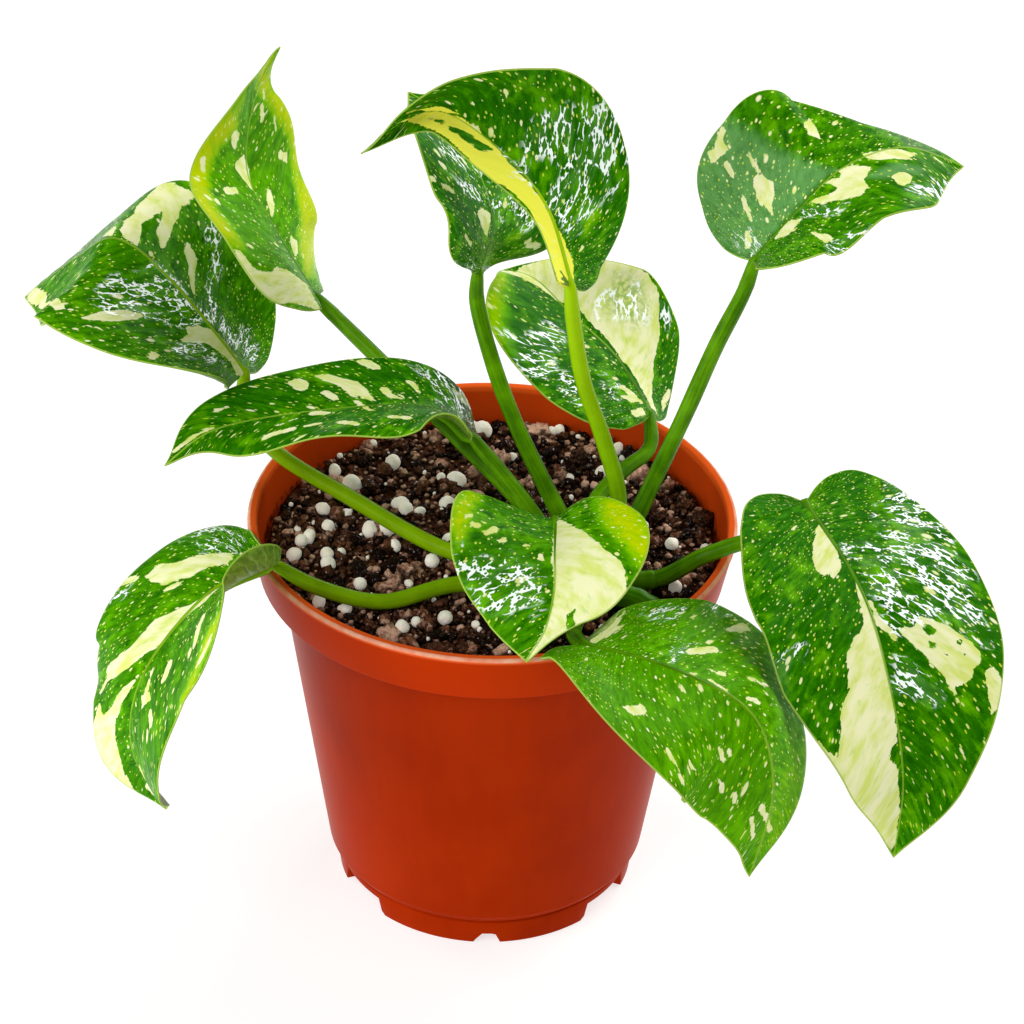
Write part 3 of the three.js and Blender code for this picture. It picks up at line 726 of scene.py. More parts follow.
@dataclass(frozen=True)
class PeatFinish:
    """Damp dark peat and bark: brown to black, with wet glints, pale pink patches that are partly painted
    highlight, and painted shade on the lumps' sides. Each lump has its own tint.
    """

    name: str
    black: Colour = srgb(8, 2, 1)
    brown: Colour = srgb(126, 74, 46)
    # A pale pinkish brown, partly the lumps' own tone and partly painted highlight.
    rust: Colour = srgb(226, 176, 150)
    grain: float = 1.3
    wet: float = 0.35

    def build(self) -> bpy.types.Material:
        """Makes the material on object coordinates and the lump's tint."""
        s = Shader(self.name)
        at = s.places()
        tint = s.read("tint")
        crumb = s.noise(at, self.grain, 5, 0.65)
        base = s.mix((tint * 1.5 + crumb * 2.2 - 1.36).clamped(), self.black, self.brown)
        # Pale pinkish patches at random: partly the lumps' own tone, partly painted highlight.
        base = s.mix(((tint + crumb + s.noise(at, 0.3, 3)) * 2.8 - 4.6).clamped(), base, self.rust)
        # Painted shade: the sides and undersides of each lump turn black.
        _, _, up = s.node("ShaderNodeNewGeometry")["Normal"].split()
        base = s.mix(up.step(0.85, 0.15) * 0.8, base, self.black)
        height = crumb * 0.5 + s.cells(at, self.grain * 1.4)["Distance"] * 0.28
        damp = s.noise(at, self.grain * 1.7, 3).step(0.52, 0.66) * self.wet
        coat = {"Coat_Weight": damp, "Coat_Roughness": 0.12, "Coat_IOR": 1.7}
        return s.finish(base, 0.7, height, Specular_IOR_Level=0.05, **coat)


@dataclass(frozen=True)
class PerliteFinish:
    """Chalky off-white volcanic glass with small pits, darker towards its lower side, with a faint painted
    glow.
    """

    white: Colour = srgb(255, 249, 232)
    warm: Colour = srgb(238, 224, 194)
    pit: Colour = srgb(120, 96, 72)
    glow: Colour = (1.0, 0.97, 0.9, 1.0)

    def build(self) -> bpy.types.Material:
        """Makes the material on object coordinates and the stone's tint."""
        s = Shader("perlite_stone")
        at = s.places()
        cloud = s.noise(at, 0.7, 4)
        base = s.mix((s.read("tint") * 0.5 + cloud - 0.62).clamped(), self.white, self.warm)
        hole = s.cells(at, 1.5)["Distance"].step(0.2, 0.1) * s.noise(at, 0.6, 2).step(0.5, 0.62)
        base = s.mix(hole * 0.55, base, self.pit)
        _, _, z = at.split()
        # Darker towards the bottom.
        base = s.mix(z.step(96.2, 95.0) * cloud * 0.7, base, self.pit)
        height = cloud * 0.12 + s.noise(at, 3.2, 3) * 0.03 - hole * 0.12
        # A faint painted glow brightens the stones.
        return s.finish(base, 0.62, height, Emission_Color=self.glow, Emission_Strength=0.12)


@dataclass(frozen=True)
class CrownSkin:
    """The tough rootstock: olive green turning brown, with rings and dry papery rims."""

    olive: Colour = srgb(74, 92, 18)
    brown: Colour = srgb(94, 62, 28)
    husk: Colour = srgb(172, 140, 84)

    def build(self) -> bpy.types.Material:
        """Makes the material on object coordinates."""
        s = Shader("crown_skin")
        at = s.places()
        _, _, z = at.split()
        ring = s.noise(at.scaled(0.3, 0.3, 1.6), 0.9, 4)
        brown = ring * 0.7 + s.noise(at, 0.4, 3) * 0.6 + z.step(106.0, 96.0) * 0.5 - 0.6
        base = s.mix(brown.clamped(), self.olive, self.brown)
        base = s.mix(ring.step(0.62, 0.75) * 0.6, base, self.husk)
        return s.finish(base, 0.5, ring * 0.4 + s.noise(at, 2.2, 3) * 0.12, IOR=1.45)


@dataclass(frozen=True)
class FloorFinish:
    """A plain pale sweep, whose faint glow keeps it white far from the lights."""

    pale: Colour = srgb(176, 176, 175)
    dull: Colour = srgb(170, 170, 169)
    glow: Colour = (1.0, 1.0, 1.0, 1.0)

    def build(self) -> bpy.types.Material:
        """Makes the material."""
        s = Shader("pale_floor")
        base = s.mix(s.noise(s.places(), 0.004, 2) * 0.1, self.pale, self.dull)
        return s.finish(base, 0.8, Emission_Color=self.glow, Emission_Strength=0.7)


# Pot


@dataclass(frozen=True)
class Notch:
    """A gap in the foot ring: its width at the foot and its height, at angles from +X."""

    width: float
    height: float
    angles: tuple[float, ...]


@dataclass(frozen=True)
class Pot:
    """The round tapered pot with a tall collar, a rolled rim, a foot ring with notches, and drain holes.

    The profile gives radius, height and how soft the corner is, from the hub of the base round the
    outside to the floor inside.
    """

    sides: int = 208
    foot: float = 37.3
    drain_ring: float = 25.0
    drain: float = 3.2
    drains: int = 8
    crease: float = 38.0
    ring_inside: float = 35.1
    ring_top: float = 6.2
    turn_radius: float = 20.0
    notches: tuple[Notch, ...] = (Notch(16, 4.6, (-146, -34, 34, 146)), Notch(5, 3, (-88, 92)))
    profile: tuple[Triple, ...] = (
        (0, 0, 0), (14, 0, 0.6), (16, 5, 0.6), (35.2, 5, 0.5), (35.2, 0, 0.25), (37.3, 0, 0.5),
        (37.75, 6.7, 0.3), (37.2, 7.3, 0.3), (38.4, 8, 0.4), (40, 10.2, 1.6), (52.3, 91.4, 0.5),
        (57.3, 91.5, 0.7), (59.6, 103, 0.6), (60, 103.8, 0.5), (59.7, 104.8, 0.6), (57.6, 104.8, 0.6),
        (56, 93, 0.4), (50.8, 92.6, 0.6), (38.5, 9.5, 1), (36.5, 6.5, 0.8), (15, 6.5, 0.5),
        (13, 1.5, 0.4), (0, 1.5, 0),
    )

    def _rule(self) -> Rule:
        """The tree that turns the profile, cuts the notches and bores the drain holes."""
        sizes = {"drain": self.drain * MM, "ring": self.drain_ring * MM, "radius": self.turn_radius * MM}
        rule = Rule("turned_pot", sides=self.sides, drains=self.drains, **sizes)
        line = rule.geo("MeshToCurve", rule.given["Geometry"])
        corners = {"Count": 3, "Radius": rule.read("soften"), "Limit Radius": True}
        line = rule.geo("FilletCurve", line, mode="POLY", **corners)
        path = rule.circle(rule.given["sides"], rule.given["radius"])
        shell = rule.geo("CurveToMesh", rule.geo("SetCurveNormal", path, mode="Z_UP"), line)
        shell = self._notched(rule, rule.geo("MergeByDistance", shell, Distance=0.00002))
        drill = {"Vertices": 28, "Radius": rule.given["drain"], "Depth": 0.02}
        drill = rule.geo("MeshCylinder", fill_type="NGON", **drill)
        ring = rule.circle(rule.given["drains"], rule.given["ring"])
        spots = rule.geo("CurveToPoints", ring, mode="EVALUATED")
        drills = rule.geo("RealizeInstances", rule.geo("InstanceOnPoints", spots, Instance=drill))
        shell = rule.geo("MeshBoolean", shell, drills, operation="DIFFERENCE", solver="EXACT")
        shell = rule.smooth(shell)
        sharp = rule.over(rule.geo("InputMeshEdgeAngle"), math.radians(self.crease))
        rule.close(rule.smooth(shell, "EDGE", Selection=sharp, Shade_Smooth=False))
        return rule

    def _notched(self, rule: Rule, shell: Wire) -> Wire:
        """Lifts the foot ring's underside at each notch, which has sloping ends."""
        x, y, z = rule.geo("InputPosition").split()
        bearing = rule.math("ARCTAN2", y, x)
        lift = None
        for notch in self.notches:
            for angle in notch.angles:
                off = bearing - math.radians(angle)
                away = rule.math("ABSOLUTE", off.sine() * self.foot)
                near = away.step(notch.width / 2 + 0.7, notch.width / 2 - 0.7)
                rise = near * (notch.height * MM) * rule.math("COSINE", off).step(0.2, 0.3)
                lift = rise if lift is None else lift.most(rise)
        ring = rule.over((x * x + y * y) ** 0.5, self.ring_inside * MM)
        low = rule.node("FunctionNodeCompare", operation="LESS_THAN", A=z, B=self.ring_top * MM)["Result"]
        both = rule.node("FunctionNodeBooleanMath", ring, low, operation="AND")["Boolean"]
        return rule.geo("SetPosition", shell, Selection=both, Position=rule.point(x, y, z.most(lift)))

    def build(self) -> None:
        """Turns the pot and dresses it."""
        inside_first = self.profile[::-1]
        points = np.array([(radius - self.turn_radius, -height, 0) for radius, height, _ in inside_first])
        base = line_of("pot_profile", points, soften=np.array([soft * MM for _, _, soft in inside_first]))
        mesh = self._rule().run(base, {"Material": PotPlastic().build()})
        settle(place("nursery_pot", mesh), "pot", "pot")


# Soil

# Perlite stones and bark lumps that lie at known places: x, y and radius
STONES: tuple[Triple, ...] = (
    (-35.4, 22.8, 2.6), (-25.6, 33.1, 2.1), (-23.2, 15.4, 1.9), (-21.6, 12.9, 1.9), (-9.3, 26.2, 2.1),
    (-11.5, 15.9, 1.9), (-42.1, 11.9, 1.7), (-40.5, 4.2, 1.7), (-36.3, 10, 1.5), (-45, -0.3, 1.7),
    (-46.8, -2.1, 1.7), (-30.1, 3.3, 2), (-26, 4, 2.1), (-40.2, -7.4, 1.7), (-39.7, -11.6, 1.7),
    (-48.3, -8.2, 2), (-40, 28.8, 1.5), (-14.5, -9.2, 1.9), (-23.7, -3.2, 1.5), (-31.6, -19.6, 1.7),
    (-34.5, -30.1, 1.5), (-41.1, -27.5, 1.7), (-20.8, -36.8, 1.9), (-10.7, -32.7, 1.8), (-3.5, 48.7, 2.5),
    (1.1, 36.6, 1.4), (16.1, 49.8, 1.6), (26.8, 31, 1.6), (44.2, 0.7, 1.6), (30.9, 42, 1.5),
)
BARK: tuple[Triple, ...] = (
    (-20.4, -14.1, 3), (-16.2, -31.7, 2.2), (-12.2, -38.8, 2.2), (-5.5, -38.6, 2.2), (-1.9, -42, 2.2),
    (20.3, 34.3, 4.2), (11.5, 49, 3.2), (48, 18, 2.4), (49, 5.8, 2.4), (40.9, 11.8, 2.4),
)


@dataclass(frozen=True)
class Lumps:
    """One kind of lump on the peat.

    Args:
        apart: The least distance between two.
        density: How many are tried on a square metre.
        low: The smallest radius.
        high: The largest radius.
        level: How often the faces of a lump are divided.
        knobbly: How deep its hollows are.
        squash: How tall it is for its width.
        seed: The seed of its random draws.
        lift: How far its middle is above the peat.
    """

    apart: float = 1
    density: float = 1
    low: float = 1
    high: float = 1
    level: int = 4
    knobbly: float = 0.3
    squash: float = 0.8
    seed: int = 1
    lift: float = 0.5


@dataclass(frozen=True)
class Soil:
    """Damp peat with bark lumps, crumbs and perlite, in the pot up to ten millimetres below its rim."""

    height: float = 95.0
    radius: float = 55.0
    sides: int = 168
    rings: int = 62
    shapes: int = 5

    @staticmethod
    def _peat_rule() -> Rule:
        """The tree that roughens the top of the peat."""
        rule = Rule("peat_surface", rise=1.6, crumb=1.1, floor=0.094)
        where = rule.geo("InputPosition")
        _, _, z = where.split()
        rolling = rule.node("ShaderNodeTexNoise", Vector=where, Scale=90.0, Detail=2.0)["Fac"]
        crumbs = rule.node("ShaderNodeTexVoronoi", feature="SMOOTH_F1", Vector=where, Scale=420.0)
        rise, crumb, floor = (rule.given[key] for key in ("rise", "crumb", "floor"))
        height = (rolling - 0.5) * 2 * rise - (crumbs["Distance"] - 0.4) * 2 * crumb
        top = rule.over(z, floor)
        lift = rule.point(0.0, 0.0, height * MM)
        skin = rule.geo("SetPosition", rule.given["Geometry"], Selection=top, Offset=lift)
        tint = rule.node("ShaderNodeTexNoise", Vector=where, Scale=160.0, Detail=3.0)["Fac"]
        rule.close(rule.store(skin, "tint", tint))
        return rule

    def _peat(self, finish: bpy.types.Material) -> bpy.types.Mesh:
        """The body of peat that fills the pot."""
        tops = [(self.radius * (k / self.rings), self.height) for k in range(self.rings, -1, -1)]
        shape = turned([(0.0, 6.8), (36.0, 6.8), (38.2, 9.8), (50.5, 92.4), *tops], self.sides)
        return self._peat_rule().run(place("peat_base", mesh_of("peat_base", *shape)), {"Material": finish})

    def _lump_shapes(self, rule: Rule) -> Wire:
        """Several knobbly lumps of radius one to pick from."""
        kinds = []
        knobbly = rule.given["knobbly"]
        for k in range(self.shapes):
            ball = rule.geo("MeshIcoSphere", Radius=1.0, Subdivisions=rule.given["level"])
            where = rule.geo("InputPosition")
            shifted = where.moved(7.3 * k, 3.1 * k, 1.7)
            coarse = rule.node("ShaderNodeTexNoise", Vector=shifted, Scale=0.9, Detail=1.0)["Fac"]
            knobs = rule.node("ShaderNodeTexVoronoi", Vector=shifted, Scale=2.1)["Distance"]
            size = 1.0 + (coarse - 0.5) * (knobbly * 1.3 + 0.2) + (0.45 - knobs) * knobbly
            grown = rule.vector("SCALE", where, Scale=size)
            kinds.append(rule.geo("GeometryToInstance", rule.geo("SetPosition", ball, Position=grown)))
        return rule.geo("JoinGeometry", kinds[::-1])

    def _strewn(self, rule: Rule, points: Wire, size: Wire) -> Wire:
        """Puts a lump with its own turn, size and tint on each point."""
        random = "FunctionNodeRandomValue"
        turn = rule.node(random, data_type="FLOAT_VECTOR", Max=(6.3, 6.3, 6.3), Seed=5)["Value"]
        pick = rule.node(random, data_type="INT", Max_002=self.shapes - 1, Seed=3)["Value_002"]
        wide, deep = size * rule.random(0.8, 1.25, 7), size * rule.random(0.8, 1.2, 8)
        strewn = rule.geo(
            "InstanceOnPoints",
            points,
            Instance=self._lump_shapes(rule),
            Pick_Instance=True,
            Instance_Index=pick,
            Rotation=rule.node("FunctionNodeEulerToRotation", turn)["Rotation"],
            Scale=rule.point(wide, deep, size * rule.given["squash"]),
        )
        return rule.store(strewn, "tint", rule.random(0.0, 1.0, 21), "FLOAT", "INSTANCE")

    def _lump_rule(self, scattered: bool) -> Rule:
        """The tree that strews lumps over the peat, or puts them on given points."""
        sizes = {"apart": 0.002, "density": 1000.0, "low": 0.001, "high": 0.002, "level": 2}
        looks = {"knobbly": 0.3, "squash": 0.8, "seed": 1, "lift": 0.0005}
        rule = Rule("strewn_lumps" if scattered else "placed_lumps", **sizes, **looks)
        ground, low, high, seed = (rule.given[key] for key in ("Geometry", "low", "high", "seed"))
        if scattered:
            values = {"Distance Min": rule.given["apart"], "Density Max": rule.given["density"]}
            values |= {"Density Factor": 1.0, "Seed": seed}
            points = rule.geo("DistributePointsOnFaces", ground, distribute_method="POISSON", **values)
            size = low + (high - low) * rule.random(0.0, 1.0, seed) ** 2.0
        else:
            points, size = rule.geo("MeshToPoints", ground), rule.read("size")
        lift = rule.point(0.0, 0.0, rule.given["lift"])
        lumps = self._strewn(rule, rule.geo("SetPosition", points, Offset=lift), size)
        rule.close(rule.smooth(rule.geo("RealizeInstances", lumps)))
        return rule

    def _strew(
        self, rule: Rule, kind: Lumps, finish: bpy.types.Material, spots: Sequence[Triple] = ()
    ) -> bpy.types.Mesh:
        """Lumps of one kind on a disc at the peat's height, or at spots: x, y and radius."""
        lengths = ("apart", "low", "high", "lift")
        values = {key: value * (MM if key in lengths else 1) for key, value in asdict(kind).items()}
        if spots:
            base = place("spots", mesh_of("spots", [(x, y, self.height) for x, y, _ in spots]))
            carry(base.data, "size", [radius * MM for _, _, radius in spots])
        else:
            rim = (self.radius - 1.0, self.height)
            base = place("ground", mesh_of("ground", *turned([rim, (0.0, self.height)], 48)))
        return rule.run(base, values | {"Material": finish})

    def build(self) -> None:
        """Builds the peat, its lumps and the perlite, and dresses them."""
        peat = PeatFinish("peat_body").build()
        bark = (srgb(26, 11, 6), srgb(140, 86, 58), srgb(240, 192, 166), 1.1, 0.9)
        bark = PeatFinish("bark_lump", *bark).build()
        crumb = (srgb(12, 4, 2), srgb(132, 82, 56), srgb(232, 184, 158), 1.6, 0.8)
        crumb = PeatFinish("peat_crumb", *crumb).build()
        stone = PerliteFinish().build()
        strewn, placed = self._lump_rule(True), self._lump_rule(False)
        body = self._strew(strewn, Lumps(6.2, 60000, 2.0, 3.6, 3, 0.75, 0.8, 4, 0.5), bark)
        small = self._strew(strewn, Lumps(2.9, 200000, 1.0, 2.1, 2, 0.7, 0.85, 9, 0.7), bark)
        fine = self._strew(strewn, Lumps(1.35, 900000, 0.45, 1.15, 2, 0.5, 0.9, 2, 0.9), crumb)
        big = self._strew(placed, Lumps(knobbly=0.8, squash=0.85, seed=7, lift=1.0), bark, BARK)
        settle(join("potting_soil", [self._peat(peat), body, small, big]), "soil", "soil")
        settle(place("peat_crumbs", fine), "soil")
        loose = self._strew(strewn, Lumps(13.0, 9000, 1.0, 1.9, 3, 0.1, 0.9, 6, 1.5), stone)
        grit = self._strew(strewn, Lumps(7.5, 20000, 0.4, 0.8, 2, 0.12, 0.9, 13, 1.4), stone)
        seen = self._strew(placed, Lumps(knobbly=0.06, squash=0.95, seed=1, lift=2.1), stone, STONES)
        settle(join("perlite", [seen, loose, grit]), "soil")


# Bars: stalks, midribs, sheaths


class Bars:
    """The Geometry Nodes tree that runs a round bar along a line, with its own radius at each point."""

    def __init__(self) -> None:
        """Builds the tree."""
        self.rule = rule = Rule("round_bar", sides=20)
        line = rule.geo("MeshToCurve", rule.given["Geometry"])
        ring = rule.circle(rule.given["sides"], 1.0)
        ring = rule.store(ring, "around", rule.geo("InputPosition"), "FLOAT_VECTOR")
        bar = rule.geo("CurveToMesh", line, ring, Scale=rule.read("girth"), Fill_Caps=True)
        rule.close(rule.smooth(bar))

    def run(
        self,
        points: np.ndarray,
        girth: np.ndarray,
        finish: bpy.types.Material,
        sides: int,
        **marks: np.ndarray,
    ) -> bpy.types.Mesh:
        """Makes one bar.

        Args:
            points: Its middle line in millimetres.
            girth: The radius at each point in millimetres.
            finish: Its material.
            sides: Faces round the bar.
            marks: Attributes of each point for the finish.

        Returns:
            The bar's mesh.
        """
        base = line_of("bar_line", points, girth=np.asarray(girth) * MM, **marks)
        return self.rule.run(base, {"Material": finish, "sides": sides})


# Leaves


class Tone(Enum):
    """What a patch on a leaf is."""

    CREAM = "cream"
    YELLOW = "butter"
    GREEN = "island"
    VEIL = "veil"
    # Wet zones hold the nets of painted highlight, which are painted near-white and glow faintly, over a
    # clearer coat.
    WET = "wet"
    SHEEN = "sheen"
    RIPE = "ripe"
    FLECK = "fleck"


@dataclass(frozen=True)
class Marks:
    """The marbling of one leaf, in millimetres along its midrib and out from it, left above zero.

    Each patch is an outline: its places along and out in turn. A fleck is a short bar of cream: both
    ends, along and out, and its half width.
    """

    patches: dict[Tone, tuple[tuple[float, ...], ...]]

    @staticmethod
    def _away(flat: np.ndarray, a: np.ndarray, line: np.ndarray) -> np.ndarray:
        """The distance of each place from a straight line that starts at a."""
        rel = flat - a
        share = np.clip((rel @ line) / max(line @ line, 1e-9), 0, 1)
        return np.linalg.norm(rel - share[:, None] * line, axis=1)

    def _inside(self, outline: np.ndarray, flat: np.ndarray) -> np.ndarray:
        """How far inside an outline each place is; below zero outside."""
        away = np.full(len(flat), 1e9)
        within = np.zeros(len(flat), bool)
        for a, b in zip(outline, np.roll(outline, -1, axis=0)):
            line = b - a
            away = np.minimum(away, self._away(flat, a, line))
            crosses = (a[1] > flat[:, 1]) != (b[1] > flat[:, 1])
            rise = np.where(b[1] == a[1], 1e-9, b[1] - a[1])
            within ^= crosses & (flat[:, 0] < line[0] * (flat[:, 1] - a[1]) / rise + a[0])
        return np.where(within, away, -away)

    def depth(self, tone: Tone, flat: np.ndarray) -> np.ndarray:
        """How far inside the patches of a tone each place on the leaf is, from -9 to 9 millimetres."""
        depths = [self._inside(np.reshape(o, (-1, 2)), flat) for o in self.patches.get(tone, ())]
        if tone is Tone.CREAM:
            for x0, y0, x1, y1, half in self.patches.get(Tone.FLECK, ()):
                line = np.array([x1 - x0, y1 - y0])
                depths.append(half + 0.2 - self._away(flat, np.array([x0, y0]), line))
        return np.clip(np.max(depths, axis=0), -9, 9) if depths else np.full(len(flat), -9.0)


@dataclass(frozen=True)
class Half:
    """One half of a blade.

    Args:
        width: How wide it is at most.
        lobe: The base lobe's length, as a share of the blade's.
        fold: Its slope at the midrib along the blade, in degrees.
        curl: How much it bends on the way to the margin, in degrees.
        wave: The margin's wave: its height, its number and its phase in degrees.
    """

    width: float
    lobe: float
    fold: Triple
    curl: Triple
    wave: Triple


# Points of the margin: how far back (in lobe lengths) and ahead (in blade lengths), how far out, and
# where on the midrib its side vein starts
OUTLINE = np.array(
    (
        (0, 0, 0, 0), (-0.7, 0, 0.18, 0), (-1, 0, 0.38, 0), (-0.55, 0, 0.62, 0), (0, 0.06, 0.84, 0.03),
        (0, 0.18, 0.96, 0.075), (0, 0.32, 1, 0.15), (0, 0.48, 0.94, 0.27), (0, 0.64, 0.75, 0.43),
        (0, 0.78, 0.48, 0.61), (0, 0.88, 0.25, 0.76), (0, 0.95, 0.1, 0.89), (0, 1, 0, 1),
    )
)


@dataclass(frozen=True)
class Leaf:
    """One leaf: a stalk from the crown and a heart-shaped blade that folds and curls about its midrib.

    Args:
        name: Where the leaf is.
        heading: The way the blade points, in degrees from +X.
        bank: How far the blade leans to its side, in degrees.
        roll: How it turns about the midrib on the way to the tip, in degrees.
        rib: Points of the midrib from the stalk to the tip.
        left: The half to the left of the midrib.
        right: The half to the right.
        stalk: Points of the stalk from the crown up.
        ripeness: How yellow the stalk is at its foot and at its top.
        ripe: How yellow the whole blade is.
        ripest: How much yellower its ripe patches are.
        seed: What sets its freckles apart from the other leaves'.
    """

    name: str
    heading: float
    bank: float
    roll: Triple
    rib: tuple[Triple, ...]
    left: Half
    right: Half
    stalk: tuple[Triple, ...]
    ripeness: tuple[float, float] = (0.1, 0.1)
    ripe: float = 0.0
    ripest: float = 0.8
    seed: int = 0
    rows: int = 150
    spans: int = 32
    thickness: float = 0.36
    vein_bend: float = 1.3
    foot_girth: float = 2.2
    top_girth: float = 1.85
    neck: float = 6.0

    def stalk_line(self) -> Track:
        """The stalk's middle line, from the crown to the blade."""
        return Track((*self.stalk, self.rib[0]), centripetal=True, steps=600)

    def _leftwards(self) -> np.ndarray:
        """The way from the midrib to the left half, before the roll."""
        heading, bank = math.radians(self.heading), math.radians(self.bank)
        level = math.cos(bank)
        return np.array([-math.sin(heading) * level, math.cos(heading) * level, math.sin(bank)])

    def _half(self, half: Half, side: int, track: Track) -> dict[str, np.ndarray]:
        """One half of the blade's middle surface, rows of points from the midrib to the margin."""
        leftwards = self._leftwards()
        q = np.linspace(0, 1, self.rows + 1)[:, None]
        s = (np.linspace(0, 1, self.spans + 1) ** 1.12)[None, :]
        back, ahead, out, vein = (spline(OUTLINE[:, k], q) for k in range(4))
        foot = np.where(vein < 0.012, 0.0, vein)
        margin = back * half.lobe + ahead
        along = (foot + (margin - foot) * s**self.vein_bend) * track.length
        outward = np.maximum(out, 0) * s * half.width
        held = np.clip(along, 0, track.length)
        share = held / track.length
        tangent = track.along(held)
        left = unit(leftwards - (tangent @ leftwards)[..., None] * tangent)
        up = np.cross(tangent, left)
        roll = np.radians(spline(self.roll, share))[..., None]
        sideways = left * np.cos(roll) + up * np.sin(roll)
        normal = up * np.cos(roll) - left * np.sin(roll)
        fold = np.radians(spline(half.fold, share))
        bend = np.radians(spline(half.curl, share)) / half.width
        bend = np.where(np.abs(bend) < 1e-5, 1e-5, bend)
        lateral = (np.sin(fold + bend * outward) - np.sin(fold)) / bend
        swell, count, phase = half.wave
        wave = swell * np.sin(2 * math.pi * count * q + math.radians(phase)) * s * s * np.sin(math.pi * q)
        height = (np.cos(fold) - np.cos(fold + bend * outward)) / bend + wave
        at = track.at(held) + track.tangents[0] * (along - held)[..., None]
        grid = {
            "at": at + sideways * (side * lateral)[..., None] + normal * height[..., None],
            "flat": np.stack([along, outward * side], -1),
            "vein": np.stack([q * track.length * 1.3 + (0 if side > 0 else 90) + 0 * s, outward * side], -1),
            "q": q + 0 * s,
        }
        reach = np.linalg.norm(np.diff(grid["at"], axis=1), axis=2)
        reach = np.cumsum(reach[:, ::-1], axis=1)[:, ::-1]
        grid["edge"] = np.concatenate([reach, np.zeros((len(reach), 1))], axis=1)
        grid["relief"] = self._relief(grid, s + 0 * q)
        return grid

    def _relief(self, grid: dict[str, np.ndarray], s: np.ndarray) -> np.ndarray:
        """How far the face stands proud: the midrib's ridge and the swell between side veins."""
        across, out, q = grid["vein"][..., 0], np.abs(grid["flat"][..., 1]), grid["q"]
        ripple = np.sin(across / 4.3 * math.pi * 2 + 1.7 * np.sin(across / 9 + self.seed))
        room = hill(s, 0.08, 0.45) * hill(1 - s, 0.0, 0.25) * hill(q, 0.02, 0.16)
        gutter = np.exp(-(((out - 1.3) / 0.8) ** 2)) * 0.16
        ridge = np.exp(-((out / 0.55) ** 2)) * 0.18 * (1 - q * 0.7)
        return ripple * room * 0.07 + ridge - gutter * room

    def blade_mesh(self, face: bpy.types.Material, back: bpy.types.Material) -> bpy.types.Mesh:
        """The blade as a thin closed sheet with a rounded margin, with a finish for each side."""
        track = Track(self.rib)
        left, right = self._half(self.left, 1, track), self._half(self.right, -1, track)
        sheet = {k: np.concatenate([left[k][:, :0:-1], right[k]], axis=1) for k in left}
        rows, columns = sheet["q"].shape
        flatten = {k: v.reshape(rows * columns, -1) if v.ndim > 2 else v.ravel() for k, v in sheet.items()}
        rounded = np.round(flatten["at"], 3)
        _, first, same = np.unique(rounded, axis=0, return_index=True, return_inverse=True)
        same = np.asarray(same).ravel().reshape(rows, columns)
        data = {k: v[first] for k, v in flatten.items()}
        quads = np.stack([same[:-1, :-1], same[:-1, 1:], same[1:, 1:], same[1:, :-1]], -1).reshape(-1, 4)
        faces = [corners for corners in map(single, quads.tolist()) if len(corners) > 2]
        return self._shell(data, faces, same, (face, back))

    @staticmethod
    def _normals(at: np.ndarray, faces: list[list[int]]) -> np.ndarray:
        """The upward direction at each point of a sheet."""
        normals = np.zeros_like(at)
        for corners in faces:
            a, b, c, d = (at[corners[k]] for k in (0, 1, 2, -1))
            push = np.cross(b - a, c - a) + (np.cross(c - a, d - a) if len(corners) > 3 else 0)
            for k in corners:
                normals[k] += push
        return unit(normals)

    def _shell(
        self,
        data: dict[str, np.ndarray],
        faces: list[list[int]],
        grid: np.ndarray,
        finishes: tuple[bpy.types.Material, bpy.types.Material],
    ) -> bpy.types.Mesh:
        """Gives the sheet its thickness, a rounded rim, its materials and its attributes."""
        at, relief, count = data["at"], data["relief"][:, None], len(data["at"])
        normals = self._normals(at, faces)
        thin = (self.thickness * (0.5 + 0.5 * hill(data["edge"], 0.0, 2.5)))[:, None]
        loop = [*grid[:, 0], *grid[::-1, -1]]
        loop = [k for i, k in enumerate(loop) if i == 0 or k != loop[i - 1]]
        if loop[0] == loop[-1]:
            loop.pop()
        ring = at[loop]
        run = unit(np.roll(ring, -1, axis=0) - np.roll(ring, 1, axis=0))
        outward = unit(np.cross(normals[loop], run)) * -1
        centre = at[grid[len(grid) // 2, self.spans]]
        flip = np.sign(np.sum(outward * (ring - centre), axis=1).sum()) or 1.0
        rim = ring + outward * flip * thin[loop] * 0.6
        points = np.concatenate([at + normals * (thin + relief), at - normals * (thin - relief * 0.5), rim])
        shell = faces + [[k + count for k in f[::-1]] for f in faces]
        slots = [0] * len(faces) + [1] * len(faces)
        ways = {(f[i], f[(i + 1) % len(f)]) for f in faces for i in range(len(f))}
        for i, k in enumerate(loop):
            following = (i + 1) % len(loop)
            n, a, b = loop[following], 2 * count + i, 2 * count + following
            strips = [k, a, b, n], [a, k + count, n + count, b]
            shell += strips if (k, n) in ways else [strip[::-1] for strip in strips]
            slots += [0, 1]
        mesh = mesh_of(f"{self.name}_blade", points, shell)
        for finish in finishes:
            mesh.materials.append(finish)
        mesh.polygons.foreach_set("material_index", slots)
        self._write(mesh, data, np.concatenate([np.arange(count), np.arange(count), np.array(loop)]))
        return mesh

    def _write(self, mesh: bpy.types.Mesh, data: dict[str, np.ndarray], rows: np.ndarray) -> None:
        """Writes the leaf's own coordinates and its marks on the mesh."""
        marks, flat = Marks(MARKS[self.name]), data["flat"]
        apart = np.full(len(flat), self.seed * 31.0)
        ripe = self.ripe + np.clip(0.5 + marks.depth(Tone.RIPE, flat) / 5, 0, 1) * self.ripest
        carried = {"flat": np.column_stack([flat, apart]), "vein": np.column_stack([data["vein"], apart])}
        for tone in (Tone.CREAM, Tone.YELLOW, Tone.GREEN, Tone.VEIL, Tone.WET, Tone.SHEEN):
            carried[tone.value] = marks.depth(tone, flat)
        carried |= {"ripe": ripe, "edge": data["edge"], "rib": np.abs(flat[:, 1]) * (1 + data["q"])}
        for name, values in carried.items():
            carry(mesh, name, values[rows])

